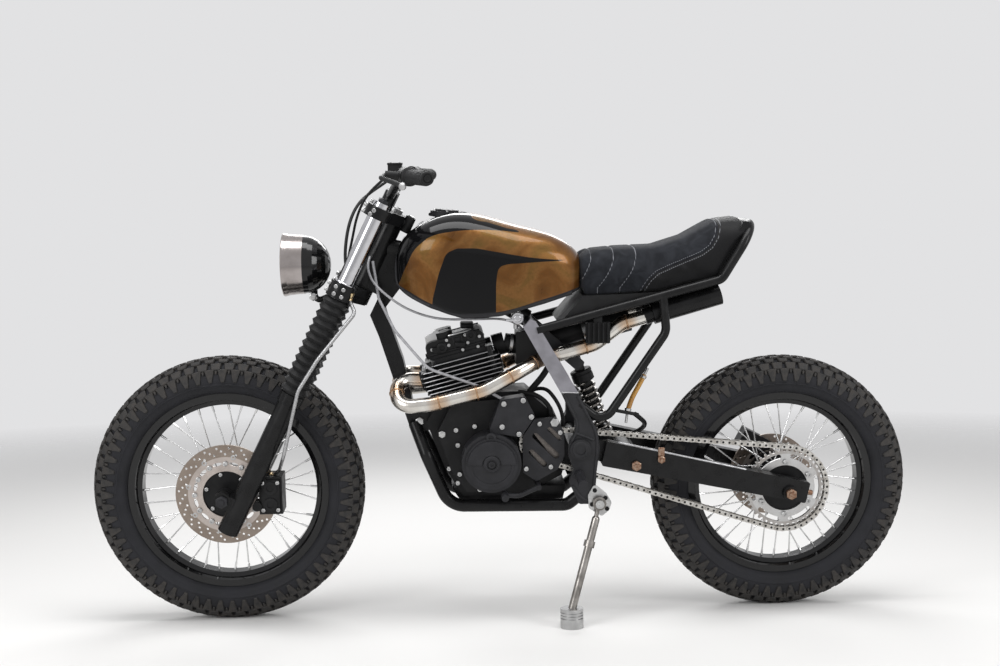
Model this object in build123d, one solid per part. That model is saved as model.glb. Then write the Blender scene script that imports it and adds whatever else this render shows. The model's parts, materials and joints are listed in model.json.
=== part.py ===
"""Scrambler motorcycle parked on its side stand.

It is modelled upright, x forward, y to the rider's left, z up from the floor under the middle of the
wheelbase, and then leaned over to the left until the stand's foot meets the floor.
"""

import math
import os

from build123d import *

# Stance, in millimetres and degrees
WHEELBASE = 1427.0
LEAN = 8.3
RAKE = 26.5
FRONT_BEAD_R = 241.3
REAR_BEAD_R = 228.6
FRONT_TYRE_H = 104.7
REAR_TYRE_H = 106.4
FRONT_TYRE_R = FRONT_BEAD_R + FRONT_TYRE_H
REAR_TYRE_R = REAR_BEAD_R + REAR_TYRE_H
TYRE_HALF_WIDTH = 54.0
LUG_COUNT = 34
LUG_SHARE = 0.58
LUG_H = 7.0
RUN_GAP = 0.08
SEAT_GAP = 0.3

# Wheels
FLANGE_LIP = 13.0
BEAD_GAP = 1.2
RIM_HALF_WIDTH = 33.0
RIM_WALL = 4.0
RIM_WELL = 19.0
SPOKE_D = 3.4
SPOKE_COUNT = 36
SPOKE_CROSS = 40.0
HUB_HOLE_R = 42.0
HUB_FLANGE_Y = 32.0
HUB_FLANGE_W = 12.0
AXLE_R = 10.0
AXLE_BORE_R = 6.0
DISC_T = 4.5
FRONT_DISC_R = 128.0
REAR_DISC_R = 110.0
FRONT_DISC_Y = 58.0
REAR_DISC_Y = -60.0
DISC_BAND = 30.0
CARRIER_BAND = 24.0

# Fork and bars, measured up the fork leg from the level of the axle
AXLE_LEAD = 44.0
STEM_OFFSET = 38.0
FORK_HALF_SPACING = 105.0
STANCHION_R = 21.5
SLIDER_R = 26.5
SLIDER_BOTTOM = -72.0
SLIDER_TOP = 318.0
GAITER_TOP = 580.0
GAITER_R = 35.0
GAITER_FOLDS = 13
LOWER_CLAMP = (582.0, 620.0)
TOP_CLAMP = (798.0, 826.0)
FORK_TOP = 838.0
STEM_R = 15.0
HEAD_TUBE_R = 28.0
TURN_ROOM_R = 55.0
CLAMP_R = 33.0
BAR_R = 11.0
GRIP_R = 17.0
GRIP_LENGTH = 122.0
BAR_HALF_WIDTH = 385.0
BAR_RISE = 44.0
BAR_SWEEP = 94.0
LAMP_R = 74.0
LAMP_AHEAD = 99.0
LAMP_UP = 57.0

# Drive
CHAIN_PITCH = 15.875
CHAIN_Y = 74.0
CHAIN_W = 18.0
CHAIN_PLATE_H = 15.0
ROLLER_R = 5.1
REAR_TEETH = 43
FRONT_TEETH = 15
SPROCKET_T = 6.0
SPROCKET_SEAT = CHAIN_Y - SPROCKET_T / 2
SPROCKET_BORE_R = 60.0
CARRIER_R = 76.0
OUTPUT_SHAFT = (-72.0, 467.0)
PIVOT = (-179.0, 460.0)
PIVOT_CAP_R = 26.0
ARM_RISE = 8.0
ARM_INNER_Y = 92.0
ARM_W = 30.0
ARM_H = 64.0

# Frame
CRADLE_D = 32.0
CRADLE_Y = 78.0
RAIL_D = 22.0
RAIL_Y = 113.0
PLATE_INNER_Y = 101.0
PLATE_T = 22.0
SPINE_D = 44.0
TUNNEL_HALF = 34.0
TANK_PADS = ((205.0, 936.0), (-12.0, 829.0))

# Engine
CASE_HALF_W = 56.0
COVER_Y = 148.0
GENERATOR = (44.0, 432.0)
GENERATOR_R = 74.0
CYLINDER_TILT = 14.4
CYLINDER_BASE = (93.0, 602.0)
FIN_PITCH = 11.0
FIN_T = 3.0
PIPE_D = 36.0
MUFFLER_D = 54.0

# Stand
STAND_PIVOT = (-226.0, 132.0, 322.0)
FOOT_AT = (-148.0, 218.0)
FOOT_R = 28.5
FOOT_H = 48.0
LEG_D = 20.0

# Fuel cap
CAP_X = 146.0
CAP_Z = 1036.0
CAP_SLOPE = 0.09
CAP_R = 42.0
CAP_H = 14.0
CAP_HINGE_R = 4.0

FRONT_X = WHEELBASE / 2
REAR_X = -WHEELBASE / 2
SIN_RAKE = math.sin(math.radians(RAKE))
COS_RAKE = math.cos(math.radians(RAKE))
SIDES = (1, -1)

# The tread's outer form, out to the lugs' tips: share of half width, depth under the crown
TREAD_FORM = ((0.0, 0.0), (0.62, 8.0), (0.93, 31.0))
WIDEST_DEPTH = 52.0


def tread_half(tyre_r, sunk=0.0):
    """Half of the tread's section as (y, radius) points, from the crown out to the shoulder."""
    return [(share * TYRE_HALF_WIDTH, tyre_r - depth - sunk) for share, depth in TREAD_FORM]


def lean_lift():
    """How far the leaned machine rises so that its tyres only touch the floor."""
    lean = math.radians(LEAN)
    lows = []
    for tyre_r in (FRONT_TYRE_R, REAR_TYRE_R):
        for y, r in tread_half(tyre_r):
            lows.append((tyre_r - r) * math.cos(lean) - y * math.sin(lean))
    return -min(lows)


PARK = Pos(0, 0, lean_lift()) * Rot(X=-LEAN)


def parked_point(point):
    """A point of the upright machine, where it is once the machine leans on its stand."""
    return (PARK * Pos(*point)).position


# Shapes that many pieces share


def rod(start, end, diameter):
    """A round bar from one point to another."""
    a, b = Vector(*start), Vector(*end)
    plane = Plane(origin=a, z_dir=b - a)
    bottom = (Align.CENTER, Align.CENTER, Align.MIN)
    return plane * Cylinder(diameter / 2, (b - a).length, align=bottom)


def rod_y(x, z, y0, y1, radius):
    """A round bar along y."""
    return rod((x, y0, z), (x, y1, z), 2 * radius)


def ring_y(x, z, y0, y1, outer, inner):
    """A ring about an axis along y."""
    return rod_y(x, z, y0, y1, outer) - rod_y(x, z, y0 - 1, y1 + 1, inner)


def turned_y(points, x, z):
    """A body turned about an axis along y, from (y, radius) points."""
    face = make_face(Plane.YZ * Polyline(*points, close=True))
    return Pos(x, 0, z) * revolve(face, axis=Axis.Y)


def plate(outline, y0, y1, corner=0.0):
    """A flat plate with an outline of (x, z) points, between two y values."""
    face = make_face(Polyline(*outline, close=True))
    if corner:
        face = fillet(face.vertices(), corner)
    return extrude(Plane.XZ.offset(-y1) * face, amount=y1 - y0)


def tube(points, diameter, bends):
    """A round tube along straight runs with rounded bends."""
    path = FilletPolyline(*points, radius=bends)
    section = Plane(origin=path @ 0, z_dir=path % 0) * Circle(diameter / 2)
    return sweep(section, path=path)


def mirrored(shape):
    """The same shape on the machine's right side."""
    return mirror(shape, about=Plane.XZ)


def both(shape):
    """A left piece and its mirror image."""
    return [shape, mirrored(shape)]


def fused(shapes):
    """Several shapes as one."""
    total = shapes[0]
    for shape in shapes[1:]:
        total = total + shape
    return total


def without(shapes, *tools):
    """Shapes with what they share with other pieces taken off."""
    result = []
    for shape in shapes:
        for tool in tools:
            shape = shape - tool
        result.append(shape)
    return result


# Wheels


def mirrored_section(half):
    """A whole section from its left half, left bead to right bead or shoulder to shoulder."""
    return half[::-1] + [(-y, r) for y, r in half if y > 0]


def on_wheel(x, z, section_point, angle):
    """A point of a wheel's section, turned to an angle about the axle."""
    y, r = section_point
    return (x + r * math.cos(angle), y, z + r * math.sin(angle))


def flat(*corners):
    """A flat face through its corners."""
    return Face(Wire.make_polygon([Vector(*c) for c in corners], close=True))


def tyre(x, tyre_r, bead_r):
    """A tyre of flat facets with a ring of lugs right across its tread."""
    bead_y = RIM_HALF_WIDTH - RIM_WALL
    tips = mirrored_section(tread_half(tyre_r))
    roots = mirrored_section(tread_half(tyre_r, LUG_H))
    widest = (TYRE_HALF_WIDTH, tyre_r - WIDEST_DEPTH)
    walls = [roots[0], widest, (bead_y, bead_r + FLANGE_LIP + 1), (bead_y, bead_r + BEAD_GAP)]
    right_walls = [(-y, r) for y, r in walls]
    pitch = 2 * math.pi / LUG_COUNT
    faces = []
    for i in range(LUG_COUNT):
        start = pitch * (i - LUG_SHARE / 2) - math.pi / 2
        end = start + pitch * LUG_SHARE
        after = start + pitch

        def quad(a, b, low, high):
            corners = ((a, low), (b, low), (b, high), (a, high))
            faces.append(flat(*(on_wheel(x, tyre_r, p, angle) for p, angle in corners)))

        def flank(j, angle):
            corners = (tips[j], tips[j + 1], roots[j + 1], roots[j])
            faces.append(flat(*(on_wheel(x, tyre_r, p, angle) for p in corners)))

        for j in range(len(tips) - 1):
            quad(tips[j], tips[j + 1], start, end)
            quad(roots[j], roots[j + 1], end, after)
            flank(j, start)
            flank(j, end)
        quad(tips[0], roots[0], start, end)
        quad(tips[-1], roots[-1], start, end)
        for low, high in ((start, end), (end, after)):
            for ring in (walls, right_walls):
                for a, b in zip(ring, ring[1:]):
                    quad(a, b, low, high)
            quad(walls[-1], right_walls[-1], low, high)
    return Solid(Shell(faces))


def rim(x, z, bead_r):
    """A drop-centre rim."""
    edge, seat = RIM_HALF_WIDTH, RIM_HALF_WIDTH - RIM_WALL
    lip = bead_r + FLANGE_LIP
    well = bead_r - RIM_WELL
    left = [(seat, lip), (seat, bead_r), (18, bead_r), (14, well + RIM_WALL)]
    inside = [(edge, lip), (edge, bead_r - RIM_WALL), (20, bead_r - 2 * RIM_WALL), (16, well)]
    right = [(-y, r) for y, r in reversed(left)]
    outside = [(-y, r) for y, r in inside]
    return turned_y(left + right + outside + inside[::-1], x, z)


def hub(x, z, disc_y, far_y, carrier_r):
    """A hub with two spoke flanges, a seat for the disc and one for a sprocket, bored for its axle."""
    low, high = sorted((disc_y, far_y))
    body = rod_y(x, z, low, high, 27)
    for side in SIDES:
        inner = side * HUB_FLANGE_Y - HUB_FLANGE_W / 2
        body = body + rod_y(x, z, inner, inner + HUB_FLANGE_W, HUB_HOLE_R + 9)
    seat = disc_y - math.copysign(6, disc_y)
    body = body + rod_y(x, z, *sorted((seat, disc_y)), 62)
    if carrier_r:
        body = body + rod_y(x, z, far_y - 9, far_y, carrier_r)
    return body - rod_y(x, z, low - 1, high + 1, AXLE_R + RUN_GAP)


def spokes(x, z, bead_r, hub_body, rim_body):
    """The wire spokes, each let into the hub's flange and the rim."""
    result = []
    for i in range(SPOKE_COUNT):
        side = SIDES[i % 2]
        lead = SIDES[(i // 2) % 2]
        rim_angle = math.radians(360 * i / SPOKE_COUNT)
        hub_angle = rim_angle + lead * math.radians(SPOKE_CROSS)
        start_y = side * HUB_FLANGE_Y + lead * (HUB_FLANGE_W / 2 - SPOKE_D / 2 - SEAT_GAP)
        rim_r = bead_r - RIM_WELL + RIM_WALL / 2
        a = (x + HUB_HOLE_R * math.cos(hub_angle), start_y, z + HUB_HOLE_R * math.sin(hub_angle))
        b = (x + rim_r * math.cos(rim_angle), side * 7, z + rim_r * math.sin(rim_angle))
        result.append(rod(a, b, SPOKE_D))
    return without(result, hub_body, rim_body)


def bean(x, z, y0, y1, radius, half, reach):
    """A curved slot along a circle about (x, z), as a cutter on the x axis: reach in degrees each way."""
    band = ring_y(x, z, y0, y1, radius + half, radius - half)
    far = 2 * radius
    spread = far * math.tan(math.radians(reach))
    body = band & plate([(x, z), (x + far, z - spread), (x + far, z + spread)], y0, y1)
    for side in SIDES:
        angle = math.radians(side * reach)
        body = body + rod_y(x + radius * math.cos(angle), z + radius * math.sin(angle), y0, y1, half)
    return body


def beans(x, z, y0, y1, radius, half, reach, count):
    """A ring of curved slots."""
    one = Pos(-x, 0, -z) * bean(x, z, y0, y1, radius, half, reach)
    return [Pos(x, 0, z) * Rot(Y=360 * i / count) * one for i in range(count)]


def disc(x, z, y, radius):
    """A brake disc and its slotted carrier, seated on the hub."""
    outer_y = y + math.copysign(DISC_T, y)
    low, high = sorted((y, outer_y))
    band = ring_y(x, z, low, high, radius, radius - DISC_BAND)
    carrier = ring_y(x, z, low, high, radius - DISC_BAND + 1, 30)
    outer, inner = radius - DISC_BAND - 10, 40
    for window in beans(x, z, low - 1, high + 1, (outer + inner) / 2, 0.28 * (outer - inner), 11, 6):
        carrier = carrier - window
    return band + carrier


def pitch_radius(teeth):
    """A sprocket's pitch radius."""
    return CHAIN_PITCH / (2 * math.sin(math.pi / teeth))


def sprocket(x, z, teeth, bore_r, phase=0.0):
    """A sprocket with short pointed teeth that stay under the chain's rollers."""
    tip = pitch_radius(teeth) - ROLLER_R - 0.6
    root = tip - 7
    points = []
    for i in range(teeth):
        for share, r in ((-0.28, root), (-0.1, tip), (0.1, tip), (0.28, root)):
            angle = 2 * math.pi * (i + share) / teeth + phase
            points.append((x + r * math.cos(angle), z + r * math.sin(angle)))
    low = CHAIN_Y - SPROCKET_T / 2
    body = plate(points, low, low + SPROCKET_T)
    return body - rod_y(x, z, low - 1, low + SPROCKET_T + 1, bore_r)


def rear_sprocket():
    """The rear sprocket: a toothed ring with long curved slots."""
    body = sprocket(REAR_X, REAR_TYRE_R, REAR_TEETH, SPROCKET_BORE_R)
    low, high = CHAIN_Y - SPROCKET_T, CHAIN_Y + SPROCKET_T
    for slot in beans(REAR_X, REAR_TYRE_R, low, high, 84, 6, 18, 6):
        body = body - slot
    return body


# Fork, bars and lamp. The fork's own plane has x ahead of the leg, y left and z up the leg.
FORK = Plane(
    origin=(FRONT_X - AXLE_LEAD * COS_RAKE, 0, FRONT_TYRE_R - AXLE_LEAD * SIN_RAKE),
    x_dir=(COS_RAKE, 0, SIN_RAKE),
    z_dir=(-SIN_RAKE, 0, COS_RAKE),
)


def fork_point(ahead, left, up):
    """A point of the fork's own plane in the upright machine."""
    return FORK.from_local_coords(Vector(ahead, left, up))


def fork_rod(ahead, left, low, high, radius):
    """A round bar along the fork leg."""
    return rod(tuple(fork_point(ahead, left, low)), tuple(fork_point(ahead, left, high)), 2 * radius)


CLAMP_MIDDLE = fork_point(0, 0, sum(LOWER_CLAMP) / 2)
LAMP_CENTRE = (CLAMP_MIDDLE.X + LAMP_AHEAD, CLAMP_MIDDLE.Z + LAMP_UP)


def slider(side):
    """A fork's lower leg, with its axle lug."""
    y = side * FORK_HALF_SPACING
    leg = fork_rod(0, y, SLIDER_BOTTOM, SLIDER_TOP, SLIDER_R)
    leg = leg + fork_rod(0, y, SLIDER_TOP - 26, SLIDER_TOP, SLIDER_R + 4)
    lug = rod_y(FRONT_X, FRONT_TYRE_R, y - SLIDER_R + 3, y + SLIDER_R - 3, 22)
    web = FORK * Pos(AXLE_LEAD / 2, y, 0) * Box(AXLE_LEAD, 2 * SLIDER_R - 10, 36)
    return leg + lug + web


def fork_sliders():
    """Both lower legs, joined by the hollow axle."""
    reach = FORK_HALF_SPACING + SLIDER_R + 4
    axle = rod_y(FRONT_X, FRONT_TYRE_R, -reach, reach, AXLE_R)
    bore = rod_y(FRONT_X, FRONT_TYRE_R, -reach - 1, reach + 1, AXLE_BORE_R)
    return fused([slider(1), slider(-1), axle]) - bore


def gaiter(side):
    """A folded rubber gaiter over a fork tube."""
    y = side * FORK_HALF_SPACING
    pitch = (GAITER_TOP - SLIDER_TOP) / GAITER_FOLDS
    bore = STANCHION_R + SEAT_GAP
    outline = [(bore, SLIDER_TOP + SEAT_GAP)]
    for i in range(GAITER_FOLDS):
        low = SLIDER_TOP + SEAT_GAP + i * pitch
        outline += [(GAITER_R - 7, low), (GAITER_R, low + pitch / 2)]
    outline += [(GAITER_R - 7, GAITER_TOP), (bore, GAITER_TOP)]
    face = make_face(Plane.XZ * Polyline(*outline, close=True))
    return FORK * Pos(0, y, 0) * revolve(face, axis=Axis.Z)


def clamp_body(low, high, stem_r):
    """A triple clamp: two fork eyes and the stem's boss joined by a web."""
    height = high - low
    web = Polyline(
        (18, FORK_HALF_SPACING),
        (-18, FORK_HALF_SPACING),
        (-STEM_OFFSET - stem_r + 4, 30),
        (-STEM_OFFSET - stem_r + 4, -30),
        (-18, -FORK_HALF_SPACING),
        (18, -FORK_HALF_SPACING),
        (2, 0),
        close=True,
    )
    sketch = make_face(web) + Pos(-STEM_OFFSET, 0) * Circle(stem_r)
    for side in SIDES:
        sketch = sketch + Pos(0, side * FORK_HALF_SPACING) * Circle(CLAMP_R)
    for side in SIDES:
        sketch = sketch - Pos(0, side * FORK_HALF_SPACING) * Circle(STANCHION_R)
    return FORK * Pos(0, 0, low) * extrude(sketch, amount=height)


def lower_clamp():
    """The lower triple clamp with the steering stem and the arm that carries the head lamp."""
    body = clamp_body(*LOWER_CLAMP, HEAD_TUBE_R + 4)
    stem = fork_rod(-STEM_OFFSET, 0, LOWER_CLAMP[0], TOP_CLAMP[0], STEM_R)
    lamp_x, lamp_z = LAMP_CENTRE
    foot = tuple(fork_point(-10, 0, sum(LOWER_CLAMP) / 2))
    arm = tube([foot, (lamp_x - 22, 0, lamp_z - LAMP_R - 22), (lamp_x - 22, 0, lamp_z - 20)], 16, 14)
    return body + stem + arm


def top_clamp():
    """The upper triple clamp with the bar's risers."""
    body = clamp_body(*TOP_CLAMP, HEAD_TUBE_R)
    high = TOP_CLAMP[1]
    for side in SIDES:
        riser = fork_rod(BAR_SEAT[0], side * 46, high - 6, high + BAR_SEAT[1], 17)
        body = body + riser
    return body - handlebar_tube(0.0)


BAR_SEAT = (-8.0, 44.0)


def handlebar_points():
    """The bar's centre line, from the left grip's end to the right one's."""
    seat = fork_point(BAR_SEAT[0], 0, TOP_CLAMP[1] + BAR_SEAT[1] - 8)
    end = (seat.X - BAR_SWEEP, BAR_HALF_WIDTH, seat.Z + BAR_RISE)
    bend = (seat.X - 0.37 * BAR_SWEEP, BAR_HALF_WIDTH - GRIP_LENGTH - 50, seat.Z + BAR_RISE + 4)
    left = [end, bend, (seat.X, 74, seat.Z)]
    return left + [(x, -y, z) for x, y, z in reversed(left)]


def handlebar_tube(grow):
    """The bar, or the bar grown a little to clear its seat."""
    return tube(handlebar_points(), 2 * (BAR_R + grow), 60)


def grip(side):
    """A rubber grip on the end of the bar."""
    end, bend = (Vector(*p) for p in handlebar_points()[:2])
    run = (bend - end).normalized()
    inner = end + run * GRIP_LENGTH
    outer = end - run * 6
    body = rod(tuple(outer), tuple(inner), 2 * GRIP_R)
    body = body + rod(tuple(inner - run * 5), tuple(inner), 2 * GRIP_R + 10)
    body = body - rod(tuple(end), tuple(inner + run * 2), 2 * BAR_R)
    return body if side > 0 else mirrored(body)


def controls():
    """Lever perches, levers and the brake's reservoir, beside the grips."""
    end, bend = (Vector(*p) for p in handlebar_points()[:2])
    run = (bend - end).normalized()
    perch = end + run * (GRIP_LENGTH + 22)
    switch = end + run * (GRIP_LENGTH + 12)
    bar = handlebar_tube(0)
    pod = rod(tuple(switch - run * 9), tuple(switch + run * 24), 44)
    ahead = Vector(50, 0, 4)
    knuckle = rod(tuple(perch), tuple(perch + ahead), 20)
    tip = end + Vector(52, -14, -16)
    lever = tube([tuple(perch + ahead), tuple(perch + ahead + Vector(8, 40, -6)), tuple(tip)], 11, 14)
    left = (pod + knuckle + lever) - bar
    tank_box = Pos(*(perch + Vector(48, -8, 14))) * Box(38, 40, 28)
    right = mirrored(pod + knuckle + lever + tank_box) - bar
    return [left, right]


def lamp_turned(points):
    """A body turned about the head lamp's axis, from (ahead, radius) points."""
    face = make_face(Plane.XZ * Polyline(*points, close=True))
    return Pos(LAMP_CENTRE[0], 0, LAMP_CENTRE[1]) * revolve(face, axis=Axis.X)


def lamp_shell():
    """The lamp's black bowl."""
    outline = [(0, 0), (0, LAMP_R - 1)]
    for i in range(1, 9):
        angle = math.radians(90 * i / 8)
        outline.append((-66 * math.sin(angle), (LAMP_R - 1) * math.cos(angle)))
    return lamp_turned(outline)


def lamp_bezel():
    """The flared bright ring that holds the lens."""
    lens_r = LAMP_R - 8
    outer = [(0, LAMP_R), (20, LAMP_R + 1), (38, LAMP_R + 3), (50, LAMP_R + 6), (52, LAMP_R + 5)]
    inner = [(46, lens_r), (0, lens_r)]
    return lamp_turned(outer + inner)


def lamp_lens():
    """The domed glass in the ring."""
    lens_r = LAMP_R - 8
    return lamp_turned([(0, 0), (0, lens_r), (40, lens_r), (48, lens_r * 0.6), (51, 0)])


def front_caliper():
    """The front brake's two-piston caliper behind the left leg, astride the disc."""
    x, z = FRONT_X, FRONT_TYRE_R
    middle = FRONT_DISC_Y + DISC_T / 2
    angle = math.radians(178)
    reach = FRONT_DISC_R - 12
    cx, cz = x + reach * math.cos(angle), z + reach * math.sin(angle)
    body = Pos(cx, middle + 4, cz) * Box(58, 66, 96)
    slot = ring_y(x, z, middle - DISC_T / 2 - 2, middle + DISC_T / 2 + 2, FRONT_DISC_R + 3, 60)
    wheel_side = Pos(cx, middle - 60, cz) * Box(90, 70, 140)
    lug = rod_y(cx + 20, cz + 36, middle + 12, FORK_HALF_SPACING, 12)
    lower = rod_y(cx + 34, cz - 26, middle + 12, FORK_HALF_SPACING, 12)
    return (body + lug + lower) - slot - wheel_side - slider(1)


# Frame


# The cross tube at the struts' top
CROSS_TUBE = (-56, 772)


def turning_room():
    """The space that the lower triple clamp sweeps under the head tube."""
    return fork_rod(-STEM_OFFSET, 0, LOWER_CLAMP[0] - 30, LOWER_CLAMP[1] + 0.5, TURN_ROOM_R)


def head_frame():
    """Head tube, spine and neck gusset."""
    low = LOWER_CLAMP[1] + 1
    high = TOP_CLAMP[0] - 1
    tube_body = fork_rod(-STEM_OFFSET, 0, low, high, HEAD_TUBE_R)
    neck = fork_point(-STEM_OFFSET, 0, high - 62)
    spine_end = (CROSS_TUBE[0], 0, CROSS_TUBE[1] + 4)
    spine = tube([(neck.X, 0, neck.Z), (neck.X - 80, 0, neck.Z - 17), spine_end], SPINE_D, 60)
    gusset_steps = ((0, -10), (-76, -22), (-62, -87), (0, -167), (24, -96))
    gusset = plate([(neck.X + dx, neck.Z + dz) for dx, dz in gusset_steps], -16, 16)
    body = tube_body + spine + (gusset - turning_room())
    for x, z in TANK_PADS:
        body = body + rod_y(x, z, SEAT_GAP - TUNNEL_HALF, TUNNEL_HALF - SEAT_GAP, 14)
    return body - fork_rod(-STEM_OFFSET, 0, low - 5, high + 5, STEM_R + RUN_GAP)


# The ears at the downtube's foot that hold the engine's front
DOWNTUBE_HALF_W = 23
ENGINE_EAR = ((246, 560), (232, 488), (176, 500), (186, 548))


def downtube():
    """The deep single downtube under the head."""
    top = fork_point(-STEM_OFFSET, 0, LOWER_CLAMP[1] + 6)
    outline = [
        (top.X + 14, top.Z + 4),
        (322, 738),
        (244, 486),
        (226, 498),
        (262, 677),
        (300, 790),
        (top.X - 30, top.Z + 60),
    ]
    body = plate(outline, -DOWNTUBE_HALF_W, DOWNTUBE_HALF_W)
    for side in SIDES:
        low, high = sorted((side * (DOWNTUBE_HALF_W - 1), side * (DOWNTUBE_HALF_W + 8)))
        body = body + plate(ENGINE_EAR, low, high, 6)
    return body


CRADLE = (
    (236, 30, 512), (206, CRADLE_Y, 441), (150, CRADLE_Y, 308), (-150, CRADLE_Y, 304), (-196, CRADLE_Y, 340),
)


def cradle_tube():
    """The left tube of the cradle under the engine."""
    return tube(list(CRADLE), CRADLE_D, [24, 60, 30])


# Pivot plate outline, and the flat strut above it
PIVOT_PLATE = (
    (-130, 604), (-175, 602), (-198, 552), (-222, 508), (-228, 462), (-220, 400), (-216, 318), (-176, 318),
    (-152, 372), (-162, 408), (-150, 440), (-152, 476), (-166, 502), (-166, 532), (-146, 572),
)
STRUT = ((-38, 769), (-56, 790), (-70, 782), (-175, 602), (-130, 604))


def side_plate():
    """The left pivot plate."""
    y0, y1 = PLATE_INNER_Y, PLATE_INNER_Y + PLATE_T
    return plate(PIVOT_PLATE, y0, y1, 8) + rod_y(*PIVOT, y0, y1 + 8, PIVOT_CAP_R)


def side_strut():
    """The flat strut from the left pivot plate up to the cross tube."""
    return plate(STRUT, PLATE_INNER_Y + 2, PLATE_INNER_Y + PLATE_T - 3)


SHOCK_TOP = (-186, 657)
SHOCK_COILS = 9
SHOCK_EAR_Y = 37.0
SHOCK_LOW = (-262, 450)
SPRING_D = 52.0
SPRING_WIRE = 8.0
SPRING_PITCH = 15.0

# The ears behind the cross tube that hold the shock absorber's top
SHOCK_EAR = ((-44, 764), (-62, 786), (-200, 666), (-180, 644))


def side_plates():
    """Both pivot plates, joined by the cross tubes at the strut's top and the cradle's end."""
    y = PLATE_INNER_Y + 6
    cross = rod_y(*CROSS_TUBE, -y, y, 14)
    lower_cross = rod_y(CRADLE[-1][0], CRADLE[-1][2], -y, y, CRADLE_D / 2 + 2)
    ear = plate(SHOCK_EAR, SHOCK_EAR_Y, SHOCK_EAR_Y + 8, 5)
    return fused([*both(side_plate()), *both(ear), cross, lower_cross])


RAIL_FRONT = (-72, 761)
RAIL_KINK = (-531, 881)
RAIL_TAIL = (-612, 1014)


def hoop():
    """The seat's rail: up each side, kicked up behind and round the tail."""
    left = [(x, RAIL_Y, z) for x, z in (RAIL_FRONT, RAIL_KINK, RAIL_TAIL)]
    right = [(x, -y, z) for x, y, z in reversed(left)]
    return tube(left + right, RAIL_D, [26, 70, 70, 26])


STRUT_TUBE = ((-385, 842), (-394, 752), (-238, 524), (-176, 574))


def rail_strut():
    """The left tube that braces the rail from the pivot plate."""
    return tube([(x, RAIL_Y, z) for x, z in STRUT_TUBE], RAIL_D, [40, 34])


ARM_FRONT = Vector(PIVOT[0], 0, PIVOT[1])
ARM_REAR = Vector(REAR_X, 0, REAR_TYRE_R + ARM_RISE)


def swingarm():
    """The box-section swingarm with its pivot tube, cross tube and the rear axle."""
    run = (ARM_REAR - ARM_FRONT).normalized()
    up = Vector(0, 1, 0).cross(run)
    front = ARM_FRONT + run * 62
    rear = ARM_REAR + run * 48
    half = up * (ARM_H / 2)
    corners = [front + half, rear + half * 0.85, rear - half * 0.85, front - half]
    arm = plate([(c.X, c.Z) for c in corners], ARM_INNER_Y, ARM_INNER_Y + ARM_W)
    arm = fillet(arm.edges().filter_by(Axis.Y), 5)
    cross_at = ARM_FRONT + run * 130
    reach = ARM_INNER_Y + 2
    cross = rod_y(cross_at.X, cross_at.Z, -reach, reach, 26)
    gap = PLATE_INNER_Y - SEAT_GAP
    pivot_tube = rod_y(PIVOT[0], PIVOT[1], -gap, gap, 22)
    nose = plate(
        [(PIVOT[0] + 6, PIVOT[1] + 18), (PIVOT[0] + 6, PIVOT[1] - 18),
         (corners[3].X - 8, corners[3].Z + 3), (corners[0].X - 8, corners[0].Z - 3)],
        ARM_INNER_Y, gap,
    )
    end = ARM_INNER_Y + ARM_W + 12
    axle = rod_y(REAR_X, REAR_TYRE_R, -end, end, AXLE_R)
    nuts = rod_y(REAR_X, REAR_TYRE_R, end - 12, end - 3, 18)
    bore = rod_y(REAR_X, REAR_TYRE_R, -end - 1, end + 1, AXLE_BORE_R)
    body = fused([arm, mirrored(arm), nose, mirrored(nose), cross, pivot_tube, axle, nuts, mirrored(nuts)])
    return body - bore


def chain_lines():
    """Where the chain's runs leave the two sprockets: angle of each run's normal, top then bottom."""
    big, small = pitch_radius(REAR_TEETH), pitch_radius(FRONT_TEETH)
    dx = OUTPUT_SHAFT[0] - REAR_X
    dz = OUTPUT_SHAFT[1] - REAR_TYRE_R
    along = math.atan2(dz, dx)
    tilt = math.acos((big - small) / math.hypot(dx, dz))
    return along + tilt, along - tilt


def chain_band(offset):
    """The chain's loop as a face, grown by an offset from the pitch line."""
    top, bottom = chain_lines()
    big = pitch_radius(REAR_TEETH) + offset
    small = pitch_radius(FRONT_TEETH) + offset
    rear = (REAR_X, REAR_TYRE_R)

    def on(centre, r, angle):
        return (centre[0] + r * math.cos(angle), centre[1] + r * math.sin(angle))

    back = (top + bottom) / 2 + math.pi
    front = (top + bottom) / 2
    edges = [
        Line(on(rear, big, top), on(OUTPUT_SHAFT, small, top)),
        ThreePointArc(*(on(OUTPUT_SHAFT, small, angle) for angle in (top, front, bottom))),
        Line(on(OUTPUT_SHAFT, small, bottom), on(rear, big, bottom)),
        ThreePointArc(on(rear, big, bottom), on(rear, big, back), on(rear, big, top)),
    ]
    return make_face(Curve() + edges)


def chain():
    """The drive chain as one loop: rollers in the middle, plates on both sides."""
    half = CHAIN_PLATE_H / 2
    rollers = chain_band(ROLLER_R) - chain_band(-ROLLER_R)
    plates = chain_band(half) - chain_band(-half)
    width = CHAIN_W - 8
    middle = extrude(Plane.XZ.offset(-(CHAIN_Y + width / 2)) * rollers, amount=width)
    parts = [middle]
    for low in (CHAIN_Y - CHAIN_W / 2, CHAIN_Y + CHAIN_W / 2 - 4):
        parts.append(extrude(Plane.XZ.offset(-(low + 4)) * plates, amount=4))
    return fused(parts)


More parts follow.
